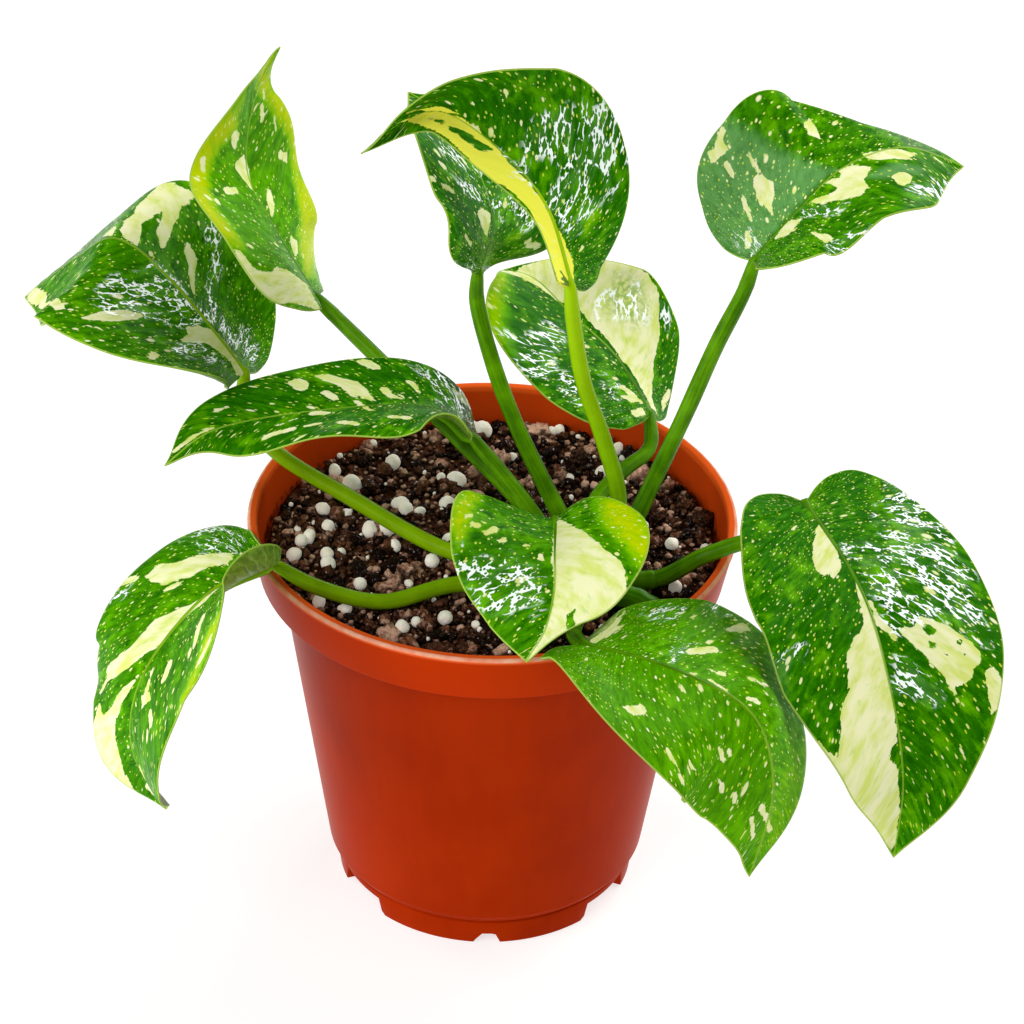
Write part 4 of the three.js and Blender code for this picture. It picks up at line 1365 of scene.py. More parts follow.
    def _bar(self, bars: Bars, skin: bpy.types.Material, line: Track) -> bpy.types.Mesh:
        """The top of the stalk and the midrib's keel under the blade, as one bar."""
        track, end = Track(self.rib), line.length - self.neck
        run = np.linspace(0, 0.93, 40)[1:] * track.length
        tangent, leftwards = track.along(run), self._leftwards()
        up = unit(np.cross(tangent, leftwards - (tangent @ leftwards)[:, None] * tangent))
        taper = 1.35 * (1 - run / track.length) ** 0.8 + 0.12
        keel = track.at(run) - up * (taper * 0.55)[:, None]
        neck = np.linspace(end - 0.4, line.length, 8)
        girth = np.interp(neck, [end, end + self.neck * 0.7, line.length], [self.top_girth, 1.6, 1.4])
        points = np.vstack([line.at(neck), keel])
        ripe = np.full(len(points), self.ripeness[1])
        along = np.r_[neck, line.length + run]
        return bars.run(points, np.r_[girth, taper], skin, 16, along=along, ripe=ripe)

    def build(
        self, bars: Bars, face: bpy.types.Material, back: bpy.types.Material, skin: bpy.types.Material
    ) -> None:
        """Builds the stalk and the blade and fixes both to the body."""
        line = self.stalk_line()
        end = line.length - self.neck
        steps = np.linspace(0, end, max(24, int(line.length / 1.6)))
        girth = self.foot_girth + (self.top_girth - self.foot_girth) * steps / end
        girth = girth * (1 + 0.015 * np.sin(steps / 3.1 + self.seed) + 0.02 * np.sin(steps / 7.7))
        ripe = self.ripeness[0] + (self.ripeness[1] - self.ripeness[0]) * steps / end
        stalk = bars.run(line.at(steps), girth, skin, 22, along=steps, ripe=ripe)
        settle(place(f"{self.name}_stalk", stalk), "stalk", f"leaf_{self.name}_stalk")
        parts = [self.blade_mesh(face, back), self._bar(bars, skin, line)]
        settle(join(f"{self.name}_blade", parts), "blade", f"leaf_{self.name}_blade")


# Crown


@dataclass(frozen=True)
class Crown:
    """The short stem that every stalk grows from, with a sheath round each and an old stem's stump."""

    middle: Triple = (23.5, -21.0, 0)
    sheath: float = 11.0
    sheath_girth: tuple[float, float] = (2.8, 2.4)
    stump: tuple[Triple, ...] = ((27, -24, 100), (35, -26, 99), (41, -28, 96.5))
    profile: tuple[tuple[float, float], ...] = (
        (0, 68), (3, 69), (5.5, 80), (7.6, 92), (8, 98), (7, 103), (4.5, 106.5), (0, 107.5),
    )

    def _stem(self) -> bpy.types.Mesh:
        """The short lumpy stem."""
        outline = spline(self.profile, np.linspace(0, 1, 40))
        outline[0, 0] = outline[-1, 0] = 0.0
        points, faces = turned(outline, 40)
        bearing = np.arctan2(points[:, 1], points[:, 0])
        swell = 1 + 0.06 * np.sin(bearing * 5 + points[:, 2] * 0.4) + 0.05 * np.sin(points[:, 2] * 1.9)
        points[:, :2] *= swell[:, None]
        stem = mesh_of("stem", points + self.middle, faces)
        stem.materials.append(CrownSkin().build())
        return stem

    def build(self, bars: Bars, leaves: Sequence[Leaf], skin: bpy.types.Material) -> None:
        """Builds the stem, its sheaths and the stump as one piece."""
        parts = [self._stem()]
        for leaf in leaves:
            line = leaf.stalk_line()
            steps = np.linspace(0, min(self.sheath, line.length * 0.45), 12)
            girth = np.interp(steps, [0, steps[-1]], self.sheath_girth) * (1 + 0.05 * np.sin(steps * 2.1))
            girth[-1] = leaf.foot_girth - 0.1
            ripe = np.full(len(steps), leaf.ripeness[0])
            parts.append(bars.run(line.at(steps), girth, skin, 18, along=steps, ripe=ripe))
        line = Track(self.stump, centripetal=True)
        steps = np.linspace(0, line.length, 14)
        girth = np.interp(steps, [0, line.length], [3.2, 2.9]) * (1 + 0.05 * np.sin(steps * 1.6))
        girth[-1] *= 0.8
        along = steps + self.sheath
        parts.append(bars.run(line.at(steps), girth, skin, 20, along=along, ripe=steps * 0))
        settle(join("crown", parts), "crown", "crown")


# Tables of leaves

MARKS: dict[str, dict[Tone, tuple[tuple[float, ...], ...]]] = {
    "far_left": {
        Tone.CREAM: (
            (84.5, -3.5, 81.5, -3, 70, 7, 67, 11.5, 73.5, 9.5, 79, 5),
            (48, -4.5, 51, -11, 50, -14.5, 52, -19.5, 51.5, -29.5, 52.5, -32.5, 48.5, -32.5, 46.5, -30.5,
             45, -31.5, 43, -30.5, 43, -24, 37, -9.5, 36.5, -6, 41.5, -10.5, 44.5, -19.5, 45.5, -16.5, 45.5,
             -10.5, 40, 0, 45.5, -2),
            (54, -4.5, 53.5, -9, 55.5, -15.5, 50.5, -6.5, 48.5, -1.5),
            (34.5, 32.5, 30.5, 21.5, 26, 16, 26, 20.5, 29.5, 28, 32.5, 32.5),
            (72.5, 9.5, 65.5, 13, 40.5, 31, 38, 32, 40, 35, 69, 13.5),
            (17.5, 9.5, 16.5, 4.5, 11, -2, 4, -3.5, 1.5, -1, 4.5, 3.5, 9, 5, 11.5, 7, 16, 16, 16, 10.5),
            (35, -16, 35, -18.5, 32.5, -16.5, 30.5, -17, 21.5, -4, 24, -5, 30.5, -12, 33, -13),
            (4.5, 2.5, -1, -1.5, -2, 4, 1.5, 5),
        ),
        Tone.WET: (
            (38.5, 12.5, 34, 0, 15, -2, 16.5, 4.5, 30.5, 26.5, 35.5, 23.5),
            (36.5, -25.5, 35, -30, 30, -30.5, 15.5, -11.5, 8, -13.5, 7, -21.5, 2.5, -21.5, -1, -11.5, 10,
             -4.5, 16.5, -3.5, 26, -20.5),
            (17, 20, 11, 7.5, 5.5, 6.5, 13.5, 22),
        ),
        Tone.FLECK: (
            (17.5, 31, 17.5, 37, 0.7), (33, 35.5, 28.5, 33, 0.4),
        ),
    },
    "upper_left": {
        Tone.CREAM: (
            (18, 30, 16, 28.5, 13.5, 28, 11.5, 25, 10.5, 22.5, 10.5, 18, 9.5, 14, 3.5, 5.5, -0.5, 8, -4, 14,
             0.5, 20.5, 3.5, 26.5, 6.5, 30.5, 14.5, 32.5),
            (39, 5.5, 40, 1, 37, -0.5, 33.5, -1, 30, 0.5, 37, 6.5),
            (46.5, 10, 47.5, 8.5, 46.5, 4.5, 42.5, 6, 43, 8),
            (31, -7, 30, -8, 25.5, -6.5, 22.5, -1.5, 27.5, -4),
            (16.5, -7, 14.5, -9.5, 11, -5.5, 11, -2, 14, -3.5),
        ),
        Tone.RIPE: (
            (35, -25, 30.5, -32.5, 20, -34, 10, -31, 5, -8.5, 6, -2.5, 19, -17.5),
            (61, 9.5, 65.5, 1.5, 51, -19, 39.5, -28.5, 33, -28.5, 34.5, -24, 39, -24, 55, -6),
            (45.5, 26, 54.5, 11.5, 48.5, 7.5, 43.5, 16, 25.5, 25.5, 18, 27, 19, 34, 27.5, 33.5),
        ),
        Tone.FLECK: (
            (30.5, 9.5, 30.5, 14.5, 0.9), (36.5, -20.5, 37.5, -17, 0.8), (51.5, -5.5, 48, -6.5, 0.7),
            (47.5, -12.5, 44, -14, 0.5), (56.5, -4.5, 54, -6, 0.4), (42, 21.5, 39, 21, 1),
            (28, 21.5, 26, 22.5, 0.5),
        ),
    },
    "top_middle": {
        Tone.YELLOW: (
            (69, -3, 62, 4, 44.5, 8.5, 39.5, 12, 32, 9, 25.5, 8, 18, 10, 8.5, 9.5, 0, 6.5, -2.5, -1, 5, -4,
             18.5, 0.5, 33.5, 1, 49.5, -1, 60, 0.5, 63.5, 0),
            (67, -6.5, 61, -2.5, 51, -1.5, 53.5, -0.5, 59, 0),
        ),
        Tone.GREEN: (
            (54.5, 3, 38.5, 1.5, 42.5, 4, 48, 4.5, 52.5, 4),
            (62, 1.5, 57, 2, 52, 2, 56, 3.5),
        ),
        Tone.RIPE: (
            (13.5, -11.5, 13.5, -15, 12.5, -13, 10.5, -10.5),
        ),
        Tone.WET: (
            (36.5, -6.5, 35.5, -14, 29, -26.5, 19.5, -27, 10.5, -5, 19, 0.5, 24, -9, 31.5, -6, 29.5, -2.5,
             31.5, -0.5),
            (37, 0.5, 29, -1.5, 24, -0.5, 32.5, 1.5),
        ),
        Tone.FLECK: (
            (47.5, -13, 46, -10.5, 0.5), (47.5, -0.5, 45.5, -0.5, 0.3),
        ),
    },
    "upper_right": {
        Tone.CREAM: (
            (15.5, 16, 14, 12, 12, 10.5, 10.5, 7, 10.5, 16.5, 13, 22.5, 14.5, 22),
            (15, 31, 15.5, 28.5, 15, 20.5, 14, 21.5),
            (10.5, 38.5, 11.5, 37.5, 13.5, 38.5, 15, 41, 15.5, 39, 14, 37, 14, 34, 9, 34.5),
            (27.5, 26, 32, 31.5, 30, 18.5, 27.5, 20.5),
            (28.5, 0.5, 31.5, -0.5, 35.5, -5, 32, -9.5, 31.5, -13.5, 29.5, -15.5, 21.5, -6.5, 19, -1, 25.5,
             -6.5, 27, -6, 24.5, -0.5, 26, -0.5, 28.5, -3),
            (36, 2, 48.5, -2.5, 43.5, -5.5, 38, -3.5, 36, -1),
            (38, -11, 40.5, -10, 42, -11, 41.5, -14, 39, -16, 37.5, -16),
            (7, -1.5, 10.5, 0, 12.5, -0.5, 15.5, -6.5, 10.5, -8.5, 8, -5),
            (14.5, -16.5, 20.5, -23, 21, -26, 18, -27.5),
        ),
        Tone.WET: (
            (0.5, 14, 4, 9, 2.5, 2.5, -0.5, 3.5),
            (17.5, -29, 23.5, -28, 27, -30, 25.5, -34.5, 17.5, -34),
            (39.5, -17.5, 56.5, -7, 56.5, -11, 46, -19.5, 40.5, -20.5),
            (15, 1, 27, -15, 24.5, -15, 14.5, -6),
        ),
        Tone.SHEEN: (
            (1, 0.4, 30, 0.4, 25, 12, 21, 22, 19, 34, 17, 46, 0, 44, -6, 24, -3, 6),
            (30, -8, 40, -5, 50, -8, 46, -12, 36, -13),
        ),
        Tone.FLECK: (
            (6.5, 12, 8.5, 20.5, 0.3), (1.5, 6.5, 3.5, 10, 0.9), (10.5, 27.5, 11.5, 32, 0.3),
        ),
    },
    "behind_middle": {
        Tone.CREAM: (
            (14.5, 11, 14.5, 1.5, 8.5, 5.5, 10, 11.5, 12.5, 13.5),
        ),
        Tone.RIPE: (
            (11, -14.5, 13, -18.5, 14.5, -22, 12, -19.5),
        ),
        Tone.WET: (
            (32.5, 21.5, 34.5, 11, 28.5, 1, 24, 0, 22, 9, 27, 20.5),
            (20.5, 21.5, 20.5, 0, 17.5, -1, 15.5, 11.5, 17.5, 19.5),
            (22.5, -2.5, 19.5, -16.5, 16, -7.5, 16.5, 0),
            (17.5, -12.5, 16, -25.5, 14, -24, 14, -16),
            (0, 21.5, 0.5, 11, 0, -4.5, -1, 17),
        ),
        Tone.FLECK: (
            (17, 24.5, 18, 29, 0.6), (12, -25.5, 11.5, -33, 0.5), (19.5, 32, 19, 35.5, 0.6),
            (5, 17.5, 6.5, 22.5, 0.3), (23, 23.5, 24, 25.5, 0.6),
        ),
    },
    "centre_back": {
        Tone.CREAM: (
            (51.5, 9.5, 54.5, -2, 45, -15.5, 41, -20, 33.5, -23.5, 25.5, -25.5, 23.5, -25, 12.5, -15, 8,
             -12.5, 3.5, -9, -0.5, -9, 2, -5, 15, -1.5, 32, -2.5, 47.5, 4.5),
            (9.5, 9.5, 9.5, 6, 3.5, 1, 4.5, 8, 7, 11, 7.5, 11, 6.5, 6.5),
        ),
        Tone.VEIL: (
            (39, -17, 35, -21.5, 27, -24.5, 19, -19.5, 18, -12.5, 20.5, -9, 28.5, -6),
        ),
        Tone.RIPE: (
            (43.5, 20.5, 54.5, 5, 44, 12.5, 29.5, 30, 31.5, 31),
        ),
        Tone.WET: (
            (32, 27.5, 30, 18, 32, 10, 30.5, 6.5, 19, 29.5, 22.5, 33.5),
            (18.5, 25, 14.5, 20.5, 5.5, 22, 4, 28, 14, 28.5),
            (13, 13, 10, 7.5, 7, 15, 9, 17),
            (33.5, -10, 28, -21, 23.5, -22.5, 21.5, -16, 27.5, -5.5),
            (22, -24.5, 20, -26, 16.5, -25, 18, -23),
        ),
        Tone.FLECK: (
            (3.5, -21, 1.5, -15.5, 0.9), (1.5, 5, 1.5, 11, 0.9),
        ),
    },
    "middle_left": {
        Tone.CREAM: (
            (40.5, -19, 37, -19, 30, -14.5, 27.5, -8, 26, -2.5, 28, -3.5, 30, -6, 31.5, -5, 34.5, -12.5),
            (46, -16, 43.5, -18, 41.5, -16, 41, -13, 42.5, -10.5, 44.5, -11),
        ),
        Tone.WET: (
            (19, -25, 16, -28.5, 8, -21.5, 8, -7.5, 12, -6, 12.5, -13.5),
            (8.5, -19.5, 7, -25.5, 4, -24, 5.5, -18),
        ),
        Tone.FLECK: (
            (29, -24.5, 26.5, -21.5, 0.9), (37.5, -9.5, 35.5, -5.5, 0.7), (24.5, -10, 22, -5, 0.9),
            (19, -15.5, 16.5, -9.5, 0.4), (20.5, -8, 20, -4.5, 0.3), (30.5, -3, 27, 4.5, 0.4),
            (21.5, 12, 17, 13, 0.8), (41, 1.5, 38, 2.5, 1), (62.5, -7, 60.5, -7, 0.4),
            (75.5, -2, 65.5, -1, 0.4), (50, 5, 45, 3.5, 0.4), (53.5, 9, 46.5, 9, 0.8),
            (34.5, 12.5, 30.5, 16.5, 1.1), (43, 9.5, 40, 10, 0.7), (8.5, -25, 10, -19.5, 1),
        ),
    },
    "low_left": {
        Tone.CREAM: (
            (21, -25.5, 18, -25.5, 15.5, -19, 7, -10, 9.5, -6.5, 12, -9, 16.5, -11, 20.5, -16.5),
            (13, 1, 17.5, 0.5, 23, -3, 28.5, -9, 35, -10, 38, -11.5, 45.5, -18.5, 48.5, -15, 42.5, -7, 34,
             -1, 22.5, 1, 19, 3.5),
            (57, -17.5, 67.5, -18, 77.5, -9, 79.5, -5.5, 56.5, -7, 42, -1, 49.5, -8, 59, -13),
            (46.5, 3.5, 44.5, 7, 45.5, 9.5, 49, 6, 47.5, 5.5),
            (61, 6, 62.5, 9.5, 81, -1, 77, -2),
        ),
        Tone.RIPE: (
            (25.5, 34.5, 36, 29.5, 42.5, 32.5, 45.5, 30.5, 33, 24.5, 27.5, 24.5),
        ),
        Tone.WET: (
            (12.5, -29.5, 10, -30, 4, -19, 3.5, -13, 6.5, -11, 10.5, -14),
            (26.5, -35, 24, -28.5, 26.5, -26.5, 28, -32.5),
        ),
        Tone.FLECK: (
            (23.5, -32.5, 21.5, -28, 0.7), (55, -19, 45.5, -14.5, 0.4), (37.5, 9.5, 40.5, 11.5, 1),
            (40, 3, 44.5, 5.5, 0.6), (24, 11, 32, 18, 0.9), (21, -14, 19, -12, 0.6),
            (49.5, 14.5, 48, 12, 0.7), (30.5, 30, 35.5, 27.5, 0.9),
        ),
    },
    "front_centre": {
        Tone.CREAM: (
            (1, 0, 1, 1.5, 21, 16, 28, 19, 31.5, 18.5, 38.5, 14, 43, 9, 44, 6.5, 46.5, 5, 48.5, 1.5, 47.5,
             -0.5, 37, -0.5, 29.5, 0.5, 16, -1),
        ),
        Tone.GREEN: (
            (37, 6, 32.5, 5, 31.5, 6.5, 34, 7, 40, 12, 41.5, 10.5),
        ),
        Tone.RIPE: (
            (-3.5, 11, -3, 16, 2, 20, 17.5, 25, 25, 22, 8, 12.5),
            (2.5, 14, 2, 18.5, 15.5, 23, 20.5, 22, 9.5, 14.5),
            (16, -28.5, 3, -23.5, 2.5, -20, 20.5, -24.5),
        ),
        Tone.WET: (
            (24, -22.5, 17, -10.5, 22.5, -2.5, 30.5, -2.5, 35.5, -12.5, 34.5, -16),
            (25, -26, 20, -23.5, 23.5, -22, 28, -22),
        ),
        Tone.FLECK: (
            (14.5, -18, 12, -15, 0.4), (15.5, -3.5, 16.5, -3.5, 0.5), (14, -22, 13.5, -19.5, 0.3),
            (15, -14.5, 14, -12.5, 0.3), (13.5, -6.5, 13.5, -7.5, 0.4), (13, -23.5, 12, -22, 0.3),
        ),
    },
    "front_right": {
        Tone.CREAM: (
            (1, -4, 1.5, 22, 3.5, 12, 4, 15, 4.5, 9.5),
            (32, 25, 36.5, 32, 37.5, 32.5, 39.5, 31.5, 37, 27.5),
            (18, -21, 20.5, -16, 22, -17, 22, -19.5, 20.5, -21.5),
        ),
        Tone.RIPE: (
            (63, 3, 61, 10, 64.5, 24, 69.5, 22, 87, 4.5, 83.5, -1.5, 68, -0.5),
        ),
        Tone.WET: (
            (6, 19.5, 6.5, 24.5, 14, 28, 14.5, 22, 10, 18.5),
            (19, 6.5, 20.5, 12.5, 26, 13.5, 21.5, 3.5),
            (22, 33.5, 29.5, 35, 34, 32.5, 29.5, 31),
        ),
        Tone.FLECK: (
            (38.5, 26.5, 41.5, 27.5, 0.3), (24.5, 9.5, 30.5, 15, 1.1), (31.5, 5.5, 34.5, 6.5, 0.7),
            (26, -0.5, 28.5, 1.5, 0.4), (31.5, 1.5, 36.5, 0.5, 0.3), (41.5, 3, 44.5, 5.5, 0.5),
            (40, 10, 44.5, 13, 0.3), (14, -30, 14.5, -33, 0.5), (22, -8, 22.5, -9.5, 0.4),
            (25.5, -4, 27, -5.5, 0.4), (28, -24.5, 30, -26, 0.5), (38, -10, 40.5, -10, 0.4),
            (41.5, -12.5, 48, -13, 0.4), (45.5, -10.5, 48, -10.5, 0.3), (34, -22.5, 36, -23, 0.5),
            (34, -24, 34, -25, 0.4), (53, -15.5, 58.5, -14.5, 0.4), (32, -28, 34.5, -28.5, 0.4),
            (60.5, -11.5, 63, -11.5, 0.4), (70.5, -6.5, 77.5, -4, 0.5), (68.5, -3.5, 78, 2.5, 0.6),
        ),
    },
    "right": {
        Tone.CREAM: (
            (5.5, 0, 10, -6.5, 13, -9.5, 16.5, -10.5, 18.5, -9, 18.5, -7, 20.5, -7, 18, -2, 11, 0.5),
            (20, 0, 31.5, -2.5, 34.5, -4.5, 36.5, -8, 40, -10, 48.5, -12, 51.5, -15, 64.5, -19, 61.5, -22.5,
             55, -27.5, 61.5, -24.5, 71.5, -17, 90, -1, 87, 0, 68.5, -1.5, 66.5, -3.5, 63.5, -2.5, 62.5,
             -0.5, 28.5, 0.5),
            (26.5, 1, 32, 2.5, 40, 6, 38.5, 3.5, 35.5, 1.5, 32, 0.5),
            (36, 5, 36.5, 9.5, 34, 12, 37.5, 18, 42, 22.5, 45, 24, 47.5, 23.5, 49.5, 20.5, 51.5, 19.5, 52.5,
             15, 43.5, 10.5),
            (50, 23.5, 48.5, 26, 52, 27.5, 56.5, 26.5, 59.5, 23),
        ),
        Tone.GREEN: (
            (36.5, 11.5, 36.5, 14, 38.5, 15, 39, 12.5),
            (40, 12, 41.5, 14, 43, 14, 42, 12),
            (42.5, 15, 44, 16, 45, 16.5, 44.5, 15),
            (40.5, 19, 42, 21, 43, 20, 42, 19),
            (44, 20, 45, 21, 46, 20, 45, 19),
        ),
        Tone.WET: (
            (13.5, 2, 15.5, 13, 9, 15.5, 9, 21, 4.5, 26.5, 6.5, 31, 14, 32, 44, 27, 35.5, 17, 37, 5,
             31, 2.5),
            (42, 3.5, 52, 11.5, 56.5, 9, 50.5, 0.5),
            (35, -22, 46, -29, 51.5, -27.5, 49, -31, 40, -34.5),
        ),
        Tone.FLECK: (
            (50, 14, 57, 16, 0.3),
        ),
    },
}
LEAVES: tuple[Leaf, ...] = (
    Leaf(
        "far_left", heading=155, bank=10, roll=(28, -8, -23),
        rib=((-62, 24, 129), (-80, 34, 148), (-94, 42, 155), (-105, 47, 146), (-119, 54, 130)),
        left=Half(43, -0.01, (-19, -11, 3), (42, 13, -10), (1.9, 3, 130)),
        right=Half(41, 0.03, (-2, -7, -8), (42, 12, -30), (1.4, 3, 60)),
        stalk=((20, -19, 100), (4, -14, 99.6), (-12, -8, 100), (-33, 5, 104), (-56, 17, 112.5),
               (-62, 22, 121)),
        ripeness=(0.6, 0.66), ripe=0.08, seed=1,
    ),
    Leaf(
        "upper_left", heading=171, bank=32, roll=(6, -12, 3),
        rib=((-45, 34, 145), (-55, 42, 158), (-63, 52, 170), (-61, 58, 188), (-55, 64, 198)),
        left=Half(31.5, 0.05, (2, 0, -5), (-36, -11, 14), (1.9, 3, 270)),
        right=Half(31, -0.02, (14, 10, 3), (-27, -7, 10), (0.8, 3, -10)),
        stalk=((19, -17, 103), (8.5, -7, 111.5), (-8, 6.5, 121.6), (-30, 24, 135)),
        ripe=0.22, seed=2,
    ),
    Leaf(
        "top_middle", heading=140, bank=-26, roll=(23, 4, -20),
        rib=((17, -5, 174), (10, 3, 192), (-3, 5, 207), (-17, 1, 217), (-32, -11, 212)),
        left=Half(10, -0.06, (8, 16, 22), (35, 14, -3), (0.4, 3, -40)),
        right=Half(26.5, 0.04, (-15, 31, 74), (8, 9, 8), (1.4, 2, 160)),
        stalk=((26, -21, 104), (30, -20, 123.5), (26, -14, 137), (21, -10, 150), (18, -6.5, 165)),
        ripeness=(0.1, 1.0), seed=3,
    ),
    Leaf(
        "upper_right", heading=30, bank=-16, roll=(-11, -2, 19),
        rib=((60, -3, 181), (70, 2, 192), (80, 5, 202), (94, 10, 205), (109, 16, 197)),
        left=Half(41.5, 0.05, (5, -1, -4), (37, 13, 2), (1.8, 2, 100)),
        right=Half(33.5, -0.01, (12, -5, -20), (9, -2, -16), (1.9, 3, 210)),
        stalk=((29, -17, 102), (36, -13.5, 118.5), (45, -12, 143), (52, -8, 161), (58, -4.5, 174)),
        ripe=0.06, seed=4,
    ),
    Leaf(
        "behind_middle", heading=149, bank=21, roll=(14, 2, -4),
        rib=((-5, 8, 169), (-2, 15, 179), (-6, 24, 188), (-13, 34, 195), (-23, 43, 198)),
        left=Half(34.5, 0, (6, 12, 5), (-26, -6, 3), (0.1, 3, 80)),
        right=Half(38.5, -0.03, (-15, 6, 10), (15, 8, -8), (1.4, 3, -80)),
        stalk=((22, -17, 104), (16.2, -11.5, 113.5), (5, -5, 135), (-1, 1, 149), (-5, 7, 162)),
        seed=5,
    ),
    Leaf(
        "centre_back", heading=126, bank=17, roll=(18, -9, -3),
        rib=((38, 20, 122), (29, 29, 133), (18, 38, 139), (9, 49, 142), (1, 57, 140)),
        left=Half(34.5, 0.02, (14, 14, 13), (-28, -8, 13), (0.2, 3, 50)),
        right=Half(27.5, 0.03, (-21, 8, 32), (17, 8, -2), (0.7, 3, 110)),
        stalk=((25, -18, 103), (24, -6, 111), (31, 5, 115), (38, 13, 117)),
        seed=6,
    ),
    Leaf(
        "middle_left", heading=193, bank=23, roll=(-1, -5, -14),
        rib=((-5, -12, 135), (-15, -7, 140), (-37, -7, 139), (-65, -12, 136), (-78, -21, 131)),
        left=Half(23.5, 0.01, (1, -3, -13), (-2, -4, -11), (1.9, 3, 160)),
        right=Half(26.5, -0.02, (1, 12, 16), (13, 3, -14), (0.8, 3, -40)),
        stalk=((18, -21, 106), (9, -18, 119), (2, -14.5, 127)),
        seed=7,
    ),
    Leaf(
        "low_left", heading=217, bank=-25, roll=(18, 19, -17),
        rib=((-52, -29, 109), (-67, -36, 104), (-81, -51, 92), (-84, -57, 75), (-77, -51, 51)),
        left=Half(33, 0.01, (45, 18, 4), (42, 8, -30), (0.5, 3, 170)),
        right=Half(32.5, 0, (-14, -7, 41), (-9, -20, -30), (1.9, 3, -50)),
        stalk=((18, -24, 100), (-8, -25, 101.5), (-26, -30, 99.4), (-42, -31.5, 104.6)),
        ripeness=(0.52, 0.52), ripe=0.1, seed=8,
    ),
    Leaf(
        "front_centre", heading=-91, bank=14, roll=(-1, -7, 17),
        rib=((15, -28, 123), (15, -41, 123), (15, -54, 120), (13, -64, 116), (9, -74, 115)),
        left=Half(23, 0.11, (12, 16, 16), (-19, -2, 15), (0.1, 2, 20)),
        right=Half(27.5, 0.02, (23, 17, 4), (38, 20, 0), (0.7, 2, 80)),
        stalk=((21, -23, 105), (17.5, -25.5, 114)),
        ripe=0.08, seed=9,
    ),
    Leaf(
        "front_right", heading=-14, bank=0, roll=(-21, 6, 19),
        rib=((22, -61, 111), (43, -70, 111), (61, -74, 102), (67, -77, 83), (63, -77, 56)),
        left=Half(35.5, -0.02, (10, -5, 19), (7, -14, -30), (1, 3, -70)),
        right=Half(31.5, 0.05, (-9, -23, -13), (36, -1, -30), (1.4, 4, -30)),
        stalk=((22, -27, 101), (20.5, -41, 103.2), (20, -53, 107.8)),
        ripe=0.21, ripest=0.15, seed=10,
    ),
    Leaf(
        "right", heading=-88, bank=-28, roll=(-3, 7, 14),
        rib=((75, -15, 121), (88, -30, 107), (95, -46, 92), (99, -61, 74), (98, -66, 54)),
        left=Half(32.5, 0.04, (3, 9, 20), (-2, -8, -11), (0.2, 3, 90)),
        right=Half(33, 0.07, (3, 15, 31), (-13, -4, 9), (1.9, 4, 60)),
        stalk=((29, -20, 100), (41, -18, 100), (50, -17.5, 105.7), (57, -16.5, 108.6), (66, -15.5, 112)),
        seed=11,
    ),
)


# Stage


@dataclass(frozen=True)
class Softbox:
    """A soft rectangular light that faces the plant.

    Args:
        name: The light's name.
        bearing: Its direction from +X, in degrees.
        height: Its angle above the plant's middle, in degrees.
        distance: How far away it hangs, in metres.
        size: Its width and height, in metres.
        brightness: How bright its face is.
        tint: Its colour.
    """

    name: str
    bearing: float
    height: float
    distance: float
    size: tuple[float, float]
    brightness: float
    tint: Triple = (1.0, 1.0, 1.0)
    middle: Triple = (0, 0, 0.12)

    def hang(self) -> None:
        """Hangs the light."""
        data = bpy.data.lights.new(self.name, "AREA")
        data.shape = "RECTANGLE"
        data.size, data.size_y = self.size
        data.energy = self.brightness * math.pi * self.size[0] * self.size[1]
        data.color = self.tint
        thing = bpy.data.objects.new(self.name, data)
        turn, rise = math.radians(self.bearing), math.radians(self.height)
        away = Vector((math.cos(rise) * math.cos(turn), math.cos(rise) * math.sin(turn), math.sin(rise)))
        thing.rotation_euler = (-away).to_track_quat("-Z", "Y").to_euler()
        thing.location = away * self.distance + Vector(self.middle)
        bpy.context.scene.collection.objects.link(thing)


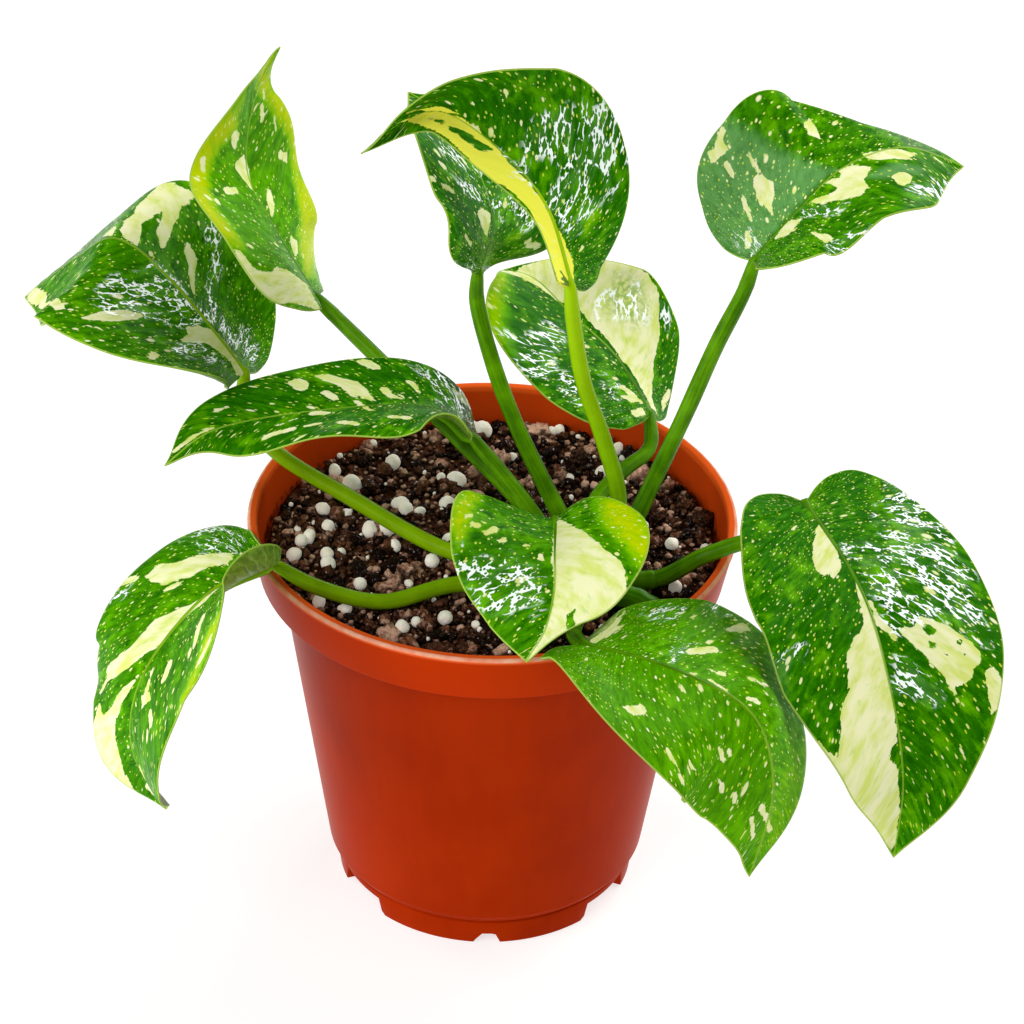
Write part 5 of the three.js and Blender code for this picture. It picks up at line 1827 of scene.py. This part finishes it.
@dataclass(frozen=True)
class Studio:
    """The camera at the photograph's angle, soft lights and a pale floor."""

    sensor: float = 36.0
    lens: float = 4500 * 36 / 1024
    elevation: float = 34.6
    distance: float = 1100.0
    roll: float = 1.5
    target: Triple = (4.7, 0.0, 105.8)
    air: float = 0.17
    reach: float = 6000.0
    lights: tuple[Softbox, ...] = (
        Softbox("right", 22, 40, 1.3, (0.9, 0.7), 4.9, (1.0, 0.995, 0.98)),
        Softbox("far_right", 62, 22, 1.3, (0.6, 0.8), 3.6),
        Softbox("far_left", 151, 33, 1.3, (0.5, 0.7), 2.8),
        Softbox("left_strip", 202, 12, 1.2, (0.3, 0.9), 7.2),
        Softbox("front", 238, 42, 1.3, (0.7, 0.6), 5.2),
    )

    def _camera(self) -> None:
        """Sets up the camera."""
        lift, roll = math.radians(self.elevation), math.radians(self.roll)
        back = Vector((0, -math.cos(lift), math.sin(lift)))
        right = Vector((1, 0, 0))
        up = back.cross(right)
        turned_right = right * math.cos(roll) + up * math.sin(roll)
        turned_up = up * math.cos(roll) - right * math.sin(roll)
        data = bpy.data.cameras.new("camera")
        data.lens = self.lens
        data.sensor_width = self.sensor
        data.clip_end = 50
        thing = bpy.data.objects.new("camera", data)
        turn = Matrix((turned_right, turned_up, back)).transposed().to_4x4()
        spot = (Vector(self.target) + back * self.distance) * MM
        thing.matrix_world = Matrix.Translation(spot) @ turn
        bpy.context.scene.collection.objects.link(thing)
        bpy.context.scene.camera = thing

    def build(self) -> None:
        """Builds the stage."""
        self._camera()
        scene = bpy.context.scene
        scene.view_settings.view_transform = "Standard"
        world = bpy.data.worlds.new("studio_air")
        world.use_nodes = True
        air = world.node_tree.nodes["Background"].inputs
        air["Color"].default_value = (1, 1, 1, 1)
        air["Strength"].default_value = self.air
        scene.world = world
        for light in self.lights:
            light.hang()
        corners = ((-1, -1, 0), (1, -1, 0), (1, 1, 0), (-1, 1, 0))
        floor = place("floor", mesh_of("floor", np.array(corners) * self.reach, [[0, 1, 2, 3]]))
        floor.data.materials.append(FloorFinish().build())
        floor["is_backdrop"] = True


def main() -> None:
    """Builds every piece of the potted plant and the stage, and works out both boxes."""
    logging.basicConfig(level=logging.INFO, format="%(name)s: %(message)s")
    Studio().build()
    Pot().build()
    Soil().build()
    skin = StalkSkin().build()
    face, back = LeafFace().build(), LeafBack().build()
    bars = Bars()
    for leaf in LEAVES:
        leaf.build(bars, face, back, skin)
    Crown().build(bars, LEAVES, skin)
    boxes = {"cad": CAD_BOX, "visual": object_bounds()}
    {name: [[float(v) for v in corner] for corner in box] for name, box in boxes.items()}


if __name__ == "__main__":
    main()
